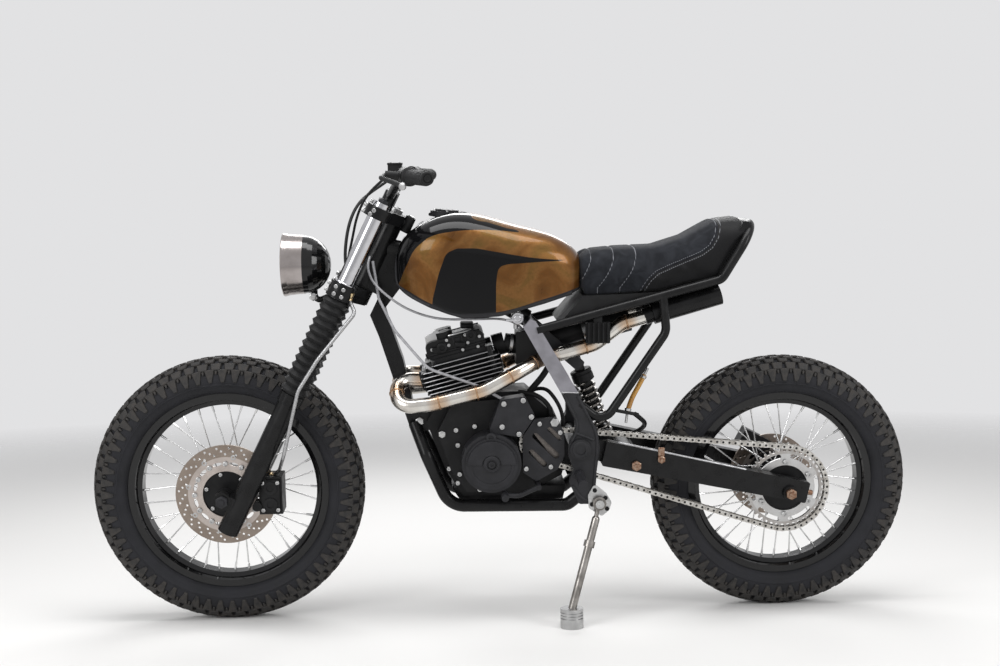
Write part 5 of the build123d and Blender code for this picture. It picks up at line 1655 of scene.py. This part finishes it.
def clusters() -> list[Cluster]:
    """Every cluster of fasteners, fittings, lines and trim.

    Returns:
        The clusters, in the order in which they are made.
    """
    fork = STANCE.fork
    ahead = Vector(fork(1, 0, 0)) - Vector(fork(0, 0, 0))
    up = Vector(fork(0, 0, 1)) - Vector(fork(0, 0, 0))
    front, rear = STANCE.front, STANCE.rear
    fins = Fins()
    rocker = ((24, 140), (-24, 141), (-26, 120), (22, 126), (-9, 106), (-58, 128), (-48, 104), (66, 126))
    return [
        Cluster("engine_bolts", Body.CHASSIS, "alloy", "alloy", screws=(
            (6.5, 6, LEFT, (
                (12, 126, 580), (-36, 126, 588), (-56, 126, 546), (-25, 126, 503), (17, 126, 522),
            )),
            (6, 6, LEFT, (
                (84, 86, 516), (127, 86, 468), (123, 86, 393), (73, 86, 352), (131, 86, 507), (-78, 104, 523),
                (-44, 104, 408), (-106, 104, 412), (-130, 104, 500), (150, 56, 400), (128, 56, 362),
            )),
            (4.2, 5, LEFT, tuple(fins.at(x, 57.6, z) for x, z in rocker)),
            (4.2, 5, RIGHT, tuple(fins.at(x, -57.6, z) for x, z in rocker)),
            (5.5, 6, RIGHT, round_of((-20, -132, 470), 69, 9) + round_of((92, -120, 452), 58, 6, 200)),
        ), hexes=(
            (11, 7, LEFT, ((223, 31, 519), (-116, 104, 526))), (9, 6, LEFT, ((166, 86, 497),)),
            (11, 7, RIGHT, ((223, -31, 519),)),
        ), rods=((fins.at(18, 52, 148), fins.at(-42, 52, 148), 4),),
            plates=((((150, 728), (152, 742), (178, 756), (206, 738), (202, 716)), 36, 44),)),
        Cluster("cover_plug", Body.CHASSIS, "cover_paint", "cover_black", screws=(
            (12, 7, LEFT, ((45, 141.5, 499),)), (8, 4, LEFT, ((44, 149.6, 432),)),
            (18, 8, RIGHT, ((92, -120, 452),)),
        )),
        Cluster("cover_gauze", Body.CHASSIS, "gauze", "cover_black", plates=(
            (((-60, 502), (-72, 502), (-132, 442), (-124, 430), (-112, 432)), 95, 97, 0.4),
            (((-96, 514), (-106, 516), (-136, 488), (-130, 476), (-120, 480)), 95, 97, 0.4),
            (((-50, 456), (-62, 458), (-98, 420), (-92, 410), (-82, 412)), 95, 97, 0.4),
        )),
        Cluster("exhaust_welds", Body.CHASSIS, "weld_tan", "bright_steel", rings=tuple(
            ((x, side * y, z), (dx, side * dy, dz), 17.4, 19.3, 4.5)
            for (x, y, z), (dx, dy, dz) in WELDS for side in SIDES
        )),
        Cluster("intake_clamps", Body.CHASSIS, "alloy", "alloy", rings=(
            ((-14, 0, 711.2), (60, 0, 10), 24.8, 27.6, 9), ((-92, 0, 713.7), (137, 0, -38), 24.8, 27.6, 9),
            ((-200, 0, 743.6), (122, 0, -32), 34.8, 37, 10),
        )),
        Cluster("swingarm_bolts", Body.CHASSIS, "old_bolt", "alloy", hexes=(
            (13, 9, LEFT, ((-320, 122, 415),)), (10, 8, LEFT, ((-383, 122, 430),)),
            (12, 8, RIGHT, ((-320, -122, 415), (-383, -122, 430))),
        ), blocks=(((16, 5, 24), (-383, 123.6, 448), 1.5),)),
        Cluster("rear_axle_nuts", Body.CHASSIS, "old_bolt", "alloy", hexes=(
            (14, 9, LEFT, ((rear[0], 130.6, rear[1]),)), (14, 9, RIGHT, ((rear[0], -130.6, rear[1]),)),
        ), rods=tuple(((rear[0] - 40, s * 107, 334), (rear[0] - 62, s * 107, 329), 7) for s in SIDES)),
        Cluster("pivot_plate_ribs", Body.CHASSIS, "cast_paint", "cover_black", hoses=tuple(
            (4, tuple((x, s * 122.4, z) for x, z in line)) for s in SIDES for line in (
                ((-138, 598), (-150, 572), (-171, 534), (-171, 502), (-158, 480)),
                ((-172, 596), (-195, 550), (-218, 507), (-223, 462), (-215, 402), (-211, 330)),
                ((-160, 366), (-180, 326), (-208, 324)), ((-168, 500), (-192, 492), (-212, 482)),
            )
        ), rings=tuple(((-179, s * 131.6, 460), LEFT, 13, 21, 4) for s in SIDES)),
        # Painted highlights: bright rods along the swingarm's top edge and along the top edge of the frame's
        # side plate, where those edges catch the light
        Cluster("painted_highlight_lines", Body.CHASSIS, "fin_edge_and_painted_highlight", "alloy", rods=(
            ((-275, 120.5, 474.6), (-600, 120.5, 398), 2.4), ((-132, 120, 604.4), (-174, 120, 602.6), 2.2),
        )),
        Cluster("generator_step", Body.CHASSIS, "cover_paint", "cover_black", plates=((
            tuple((44 + 60 * math.cos(a), 431 + 60 * math.sin(a)) for a in np.linspace(0, math.pi, 25))
            + tuple((44 - 24 * math.cos(a), 431 + 24 * math.sin(a)) for a in np.linspace(0, math.pi, 13)),
            146, 152.6),), rings=(((44, 150.5, 433), LEFT, 13, 21, 7),)),
        Cluster("head_castings", Body.CHASSIS, "engine_paint", "engine_black", screws=(
            (13, 9, LEFT, tuple(fins.at(x, 55, z) for x, z in ((-38, 136), (40, 124)))),
            (13, 9, RIGHT, tuple(fins.at(x, -55, z) for x, z in ((-38, 136), (40, 124)))),
        ), rods=tuple(
            (fins.at(a, s * 58, u), fins.at(b, s * 58, v), 3.4) for s in SIDES for a, u, b, v in (
                (-70, 112, 74, 112), (-62, 143, 20, 143), (8, 112, 8, 141), (64, 112, 64, 132),
                (-14, 112, -14, 141),
            )
        ), blocks=(
            ((26, 14, 12), fins.at(-6, 60, 121), 3), ((18, 12, 16), fins.at(58, 58, 122), 3),
            ((34, 60, 12), fins.at(-34, 0, 156), 4), ((16, 46, 14), fins.at(22, 8, 152), 4),
        )),
        Cluster("sump_pan", Body.CHASSIS, "engine_paint", "engine_black", plates=(
            (((-150, 348), (-142, 313), (122, 313), (144, 348)), -52, 52),
            (((-64, 418), (-148, 406), (-140, 374), (-88, 346), (-56, 352)), -44, 44),
        ), hexes=((11, 8, (0, 0, -1), ((20, 0, 313.4),)),)),
        Cluster("engine_hoses", Body.CHASSIS, "soft_rubber", "rubber", hoses=(
            (6, ((-28, 60, 596), (-62, 66, 594), (-92, 70, 578), (-112, 72, 550), (-112, 74, 516))),
            (8, ((-40, 30, 570), (-66, 34, 600), (-100, 36, 640), (-122, 36, 690), (-128, 34, 730))),
            (5, ((-60, -20, 580), (-96, 10, 604), (-130, 40, 566), (-146, 52, 520), (-140, 60, 480))),
        )),
        Cluster("brake_fluid_tube", Body.CHASSIS, "amber_tube", "rubber", hoses=(
            (6.5, ((-344, 92, 641), (-327, 92, 608), (-310, 92, 577), (-302, 92, 547))),
        )),
        Cluster("brake_fluid_fittings", Body.CHASSIS, "alloy", "alloy", rods=(
            ((-343, 92, 639), (-352, 92, 658), 4), ((-302, 92, 550), (-298, 92, 518), 3.4),
        ), rings=(((-341, 92, 636), (9, 0, -18), 6, 8.4, 7), ((-303, 92, 553), (3, 0, -14), 6, 8.4, 7))),
        Cluster("brake_fluid_lines", Body.CHASSIS, "soft_rubber", "rubber", rods=(
            ((-258, 106, 556), (-330, 90, 538), 4.5),
        ), hoses=((6, ((-320, 92, 541), (-338, 84, 526), (-356, 50, 505), (-352, 0, 478), (-330, -24, 462),
                       (-312, -30, 448))),)),
        Cluster("throttle_cable", Body.CHASSIS, "grey_cable", "rubber", hoses=(
            (3, ((338, 18, 944), (344, 40, 928), (342, 54, 904), (329, 62, 876), (288, 70, 839),
                 (240, 72, 808), (170, 62, 784), (80, 50, 782), (10, 40, 782), (-34, 22, 764),
                 (-50, 10, 740))),
        )),
        Cluster("tank_nose_lip", Body.CHASSIS, "cover_paint", "tank_paint", hoses=tuple(
            (4.2, tuple((x, s * y, z) for x, y, z in (
                (190, 122, 826), (222, 108, 840), (250, 88, 856), (268, 62, 872), (273, 57, 888),
                (273, 56, 908), (272, 52, 930), (268, 42, 950), (256, 40, 972), (244, 40, 992),
                (222, 42, 1011), (204, 44, 1022),
            ))) for s in SIDES
        )),
        Cluster("fuel_tap_lever", Body.CHASSIS, "chrome", "alloy", rings=(
            ((-24, 117, 792), LEFT, 9, 16, 8),
        ), screws=((8, 5, LEFT, ((-24, 117, 792),)),), blocks=(((26, 5, 7), (-8, 120, 788), 2),)),
        Cluster("seat_board", Body.CHASSIS, "black_leather", "seat_cover", plates=(
            (((-531, 887), (-606, 1009), (-606, 1020), (-586, 1022), (-521, 893)), -97, 97),
        )),
        Cluster("clamp_bolts", Body.STEERING, "alloy", "alloy", screws=(
            (5.5, 7, tuple(ahead), both_sides(tuple(fork(31, 112, u) for u in (592, 610, 804, 820)))),
            (5, 5, LEFT, tuple(fork(a, y, u) for a, y, u in (
                (15, 133.5, 610), (-5, 137, 610), (12.5, 135, 592), (-7.6, 136.5, 592), (10, 135.6, 815),
                (15, 133.4, 804)))),
            (5, 6, tuple(up), both_sides(tuple(fork(a, 46, 869) for a in (-17, 1)))),
        ), hexes=(
            (11, 9, LEFT, ((485, 7, 841),)), (16, 10, tuple(up), (fork(-STANCE.stem_offset, 0, 825.6),)),
        )),
        Cluster("fork_nuts", Body.STEERING, "cover_paint", "alloy", hexes=(
            (13, 8, tuple(up), both_sides((fork(0, 105, 837.6),))),
            (16, 9, LEFT, ((front[0], 127, front[1]),)), (16, 9, RIGHT, ((front[0], -127, front[1]),)),
        )),
        Cluster("clamp_rings", Body.STEERING, "chrome", "chrome", rings=tuple(
            (fork(0, s * 105, 622.8), tuple(up), 21.2, 28, 5) for s in SIDES
        )),
        Cluster("brake_fittings", Body.STEERING, "brass", "alloy", hexes=(
            (8, 16, (5.7, -5, -15.4), ((380, 120, 862),)),
        ), rings=(
            ((386, 114.5, 846), (5.7, -5, -15.4), 4.2, 9, 5), (fork(-40, 72, 98), tuple(up), 4.4, 8.5, 8),
        )),
        Cluster("brake_lines", Body.STEERING, "soft_rubber", "rubber", hoses=(
            (4, ((283, -236, 1140), (312, -190, 1118), (344, -90, 1096), (366, 0, 1074), (382, 52, 1040),
                 (392, 78, 996), (396, 100, 940), (386, 118, 890), (380, 121, 862))),
            (3.2, ((282, 232, 1142), (316, 180, 1116), (346, 100, 1084), (368, 58, 1040), (380, 40, 990),
                   (396, 20, 930), (402, 6, 890))),
        )),
        Cluster("ignition_lock", Body.STEERING, "black_plastic", "plastic", rods=(
            (fork(-76, 0, 790), fork(-76, 0, 832), 13), (fork(-60, 0, 812), fork(-76, 0, 812), 10),
        )),
        Cluster("bar_trim", Body.STEERING, "alloy", "alloy", rods=(
            (fork(-76, 0, 831), fork(-76, 0, 835), 9), ((240, 370, 1122), (243, 376, 1121), 8.5),
            ((240, -370, 1122), (243, -376, 1121), 8.5),
        ), screws=((3, 2.4, (0, 0, 1), (
            (270, -228, 1172), (296, -228, 1172), (270, -254, 1172), (296, -254, 1172),
        )),)),
        Cluster("reservoir_lid", Body.STEERING, "black_plastic", "plastic", blocks=(
            ((41, 43, 6), (283.2, -240.8, 1170), 2),
        )),
        Cluster("caliper_cover", Body.STEERING, "engine_paint", "engine_black", blocks=(
            ((48, 8, 84), (597.6, 98.6, 350), 3),
        ), screws=((17, 4, LEFT, ((597.6, 102, 371), (597.6, 102, 329))),)),
        Cluster("caliper_bolts", Body.STEERING, "alloy", "alloy", screws=(
            (5, 5, LEFT, ((579, 102.4, 385), (616, 102.4, 385), (579, 102.4, 315), (616, 102.4, 315))),
        )),
        Cluster("front_disc_bolts", Body.FRONT_WHEEL, "alloy", "alloy", screws=(
            (6.5, 4, LEFT, round_of((front[0], 62.3, front[1]), 80, 12)),
            (5, 4, LEFT, round_of((front[0], 57.8, front[1]), 52, 6, 15)),
        ), rings=tuple((at, LEFT, 3, 7.5, 5.4) for at in round_of((front[0], 60.3, front[1]), 97, 8, 12))),
        Cluster("rear_disc_bolts", Body.REAR_WHEEL, "alloy", "alloy", screws=(
            (6, 4, RIGHT, round_of((rear[0], -64.3, rear[1]), 68, 12)),
            (5, 4, RIGHT, round_of((rear[0], -59.8, rear[1]), 50, 6, 15)),
            (7, 6, LEFT, round_of((rear[0], 76.8, rear[1]), 69, 6, 30)),
        )),
        Cluster("fuel_cap_bolts", Body.CAP, "alloy", "alloy", screws=(
            (3, 3, (-0.09, 0, 0.996), tuple(
                (146 - 0.09 * 14 + 36 * math.cos(a), 36 * math.sin(a), 1036 + 14.2 + 36 * 0.09 * math.cos(a))
                for a in (math.radians(60 * i + 30) for i in range(6)))),
        )),
        Cluster("stand_bracket_bolts", Body.CHASSIS, "frame_paint", "frame_black", screws=(
            (5.5, 3, LEFT, ((-215, 126.8, 354), (-242, 126.8, 334), (-208, 126.8, 318), (-246, 126.8, 306))),
        )),
    ]


@dataclass
class Studio:
    """Pale floor, soft light and the camera."""

    camera_at: Point = (147.5, 3059.8, 738.8)
    yaw: float = math.radians(2.589)
    pitch: float = math.radians(0.152)
    roll: float = math.radians(-0.909)
    focal_px: float = 1153.0
    frame_px: float = 1000.0
    sensor: float = 36.0
    pale: Point = (0.78, 0.775, 0.765)
    sky: Point = (0.8, 0.8, 0.81)
    # The surround's strength as light, and as it is seen
    glow: Pair = (0.5, 0.95)
    # Half the floor's side, and from where to where it fades, in metres
    floor_half: float = 9.0
    fade: Pair = (2.2, 7.5)

    def camera(self) -> None:
        """Sets the camera at the viewing angle of the reference."""
        ahead = Vector((-math.sin(self.yaw), -math.cos(self.yaw), 0))
        right = Vector((-math.cos(self.yaw), math.sin(self.yaw), 0))
        up = Vector((0, 0, 1))
        look = ahead * math.cos(self.pitch) - up * math.sin(self.pitch)
        top = up * math.cos(self.pitch) + ahead * math.sin(self.pitch)
        side = right * math.cos(self.roll) + top * math.sin(self.roll)
        top = top * math.cos(self.roll) - right * math.sin(self.roll)
        data = bpy.data.cameras.new("camera")
        data.sensor_width = self.sensor
        data.lens = self.focal_px / self.frame_px * self.sensor
        cam = bpy.data.objects.new("camera", data)
        turn = Matrix((side, top, -look)).transposed().to_4x4()
        cam.matrix_world = Matrix.Translation(Vector(self.camera_at) * MM) @ turn
        bpy.context.scene.collection.objects.link(cam)
        bpy.context.scene.camera = cam

    def floor(self) -> None:
        """A pale floor that fades into the pale surround."""
        Bench.clear()
        bpy.ops.mesh.primitive_plane_add(size=2, location=(0, 0, 0))
        sheet = bpy.context.object
        sheet.name = "floor"
        sheet.scale = (self.floor_half, self.floor_half, 1)
        bpy.ops.object.transform_apply(location=True, rotation=False, scale=True)
        nodes = Nodes("floor_pale")
        far = nodes.vector("LENGTH", nodes.where)
        nodes.show(
            Base_Color=(*self.pale, 1), Roughness=0.75, Specular_IOR_Level=0.2,
            Alpha=nodes.ramp(far, *self.fade, (1.0, 0.0)),
        )
        sheet.data.materials.append(nodes.mat)

    def lamp(self, name: str, at: Point, aim: Point, size: Pair, watts: float) -> None:
        """One soft box.

        Args:
            name: the lamp's name.
            at: where it stands, in metres.
            aim: what it points at, in metres.
            size: its width and height, in metres.
            watts: its power.
        """
        data = bpy.data.lights.new(name, "AREA")
        data.shape = "RECTANGLE"
        data.size, data.size_y = size
        data.energy = watts
        obj = bpy.data.objects.new(name, data)
        obj.location = at
        obj.rotation_euler = (Vector(aim) - Vector(at)).to_track_quat("-Z", "Y").to_euler()
        bpy.context.scene.collection.objects.link(obj)

    def light(self) -> None:
        """Soft boxes above and to both sides, and an even pale surround."""
        self.lamp("overhead", (0.1, 0.7, 3.4), (0, 0, 0.5), (3.2, 1.2), 78)
        self.lamp("front_side", (2.6, 2.6, 1.8), (0.2, 0, 0.6), (1.2, 2.0), 48)
        self.lamp("rear_side", (-2.6, 2.2, 1.7), (-0.2, 0, 0.6), (1.0, 1.8), 38)
        self.lamp("behind", (0, -2.6, 2.6), (0, 0, 0.6), (3.0, 1.0), 48)
        world = bpy.data.worlds.new("surround")
        world.use_nodes = True
        nodes = Tree(world.node_tree)
        surround = world.node_tree.nodes["Background"]
        surround.inputs["Color"].default_value = (*self.sky, 1)
        rays = nodes.add("LightPath").outputs
        seen = rays["Is Camera Ray"]
        for ray in ("Is Glossy Ray", "Is Transmission Ray"):
            seen = nodes.math("MAXIMUM", seen, rays[ray])
        nodes.link(nodes.ramp(seen, 0, 1, self.glow), surround.inputs["Strength"])
        bpy.context.scene.world = world
        bpy.context.scene.view_settings.view_transform = "Standard"

    def build(self) -> None:
        """Camera, floor and lamps."""
        self.camera()
        self.floor()
        self.light()


def main() -> None:
    """Builds the scene in order."""
    logging.basicConfig(level=logging.INFO, format="%(name)s %(message)s")
    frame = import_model()
    Studio().build()
    paints = Paintbox()
    paints.keep("tank_paint", TankPaint())
    paints.keep("seat_cover", SeatCover())
    paints.keep("exhaust_steel", ExhaustSteel())
    paints.keep("lamp_glass", LampGlass())
    paints.keep("front_disc", DiscFace("front_disc", STANCE.front, 97))
    paints.keep("rear_disc", DiscFace("rear_disc", STANCE.rear, 80))
    paints.keep("rear_sprocket", DiscFace(
        "rear_sprocket", STANCE.rear, 90, band=(0.42, 0.41, 0.4), carrier=(0.5, 0.5, 0.5),
    ))
    paints.dress(frame["nodes"])
    Tyre("front", STANCE.front, STANCE.front_r, STANCE.front_bead, Body.FRONT_WHEEL).build(paints)
    Tyre("rear", STANCE.rear, STANCE.rear_r, STANCE.rear_bead, Body.REAR_WHEEL, pitches=58).build(paints)
    Spokes("front", STANCE.front, STANCE.front_bead, Body.FRONT_WHEEL).build(paints)
    Spokes("rear", STANCE.rear, STANCE.rear_bead, Body.REAR_WHEEL).build(paints)
    Disc(
        "front_disc", STANCE.front, Body.FRONT_WHEEL, faces=(58, 62.5), radius=128, bore=60,
        holes=(104, 112, 120), hole_count=24, window_r=80,
    ).build(paints)
    Disc(
        "rear_disc", STANCE.rear, Body.REAR_WHEEL, faces=(-60, -64.5), radius=110, bore=58,
        holes=(87, 95, 103), hole_count=20, window_r=69,
    ).build(paints)
    Chain().build(paints)
    Shock().build(paints)
    Fins().build(paints)
    Grips().build(paints)
    for cluster in clusters():
        cluster.build(paints)
    SeatPad().build(paints, frame["nodes"]["seat"])


if __name__ == "__main__":
    main()
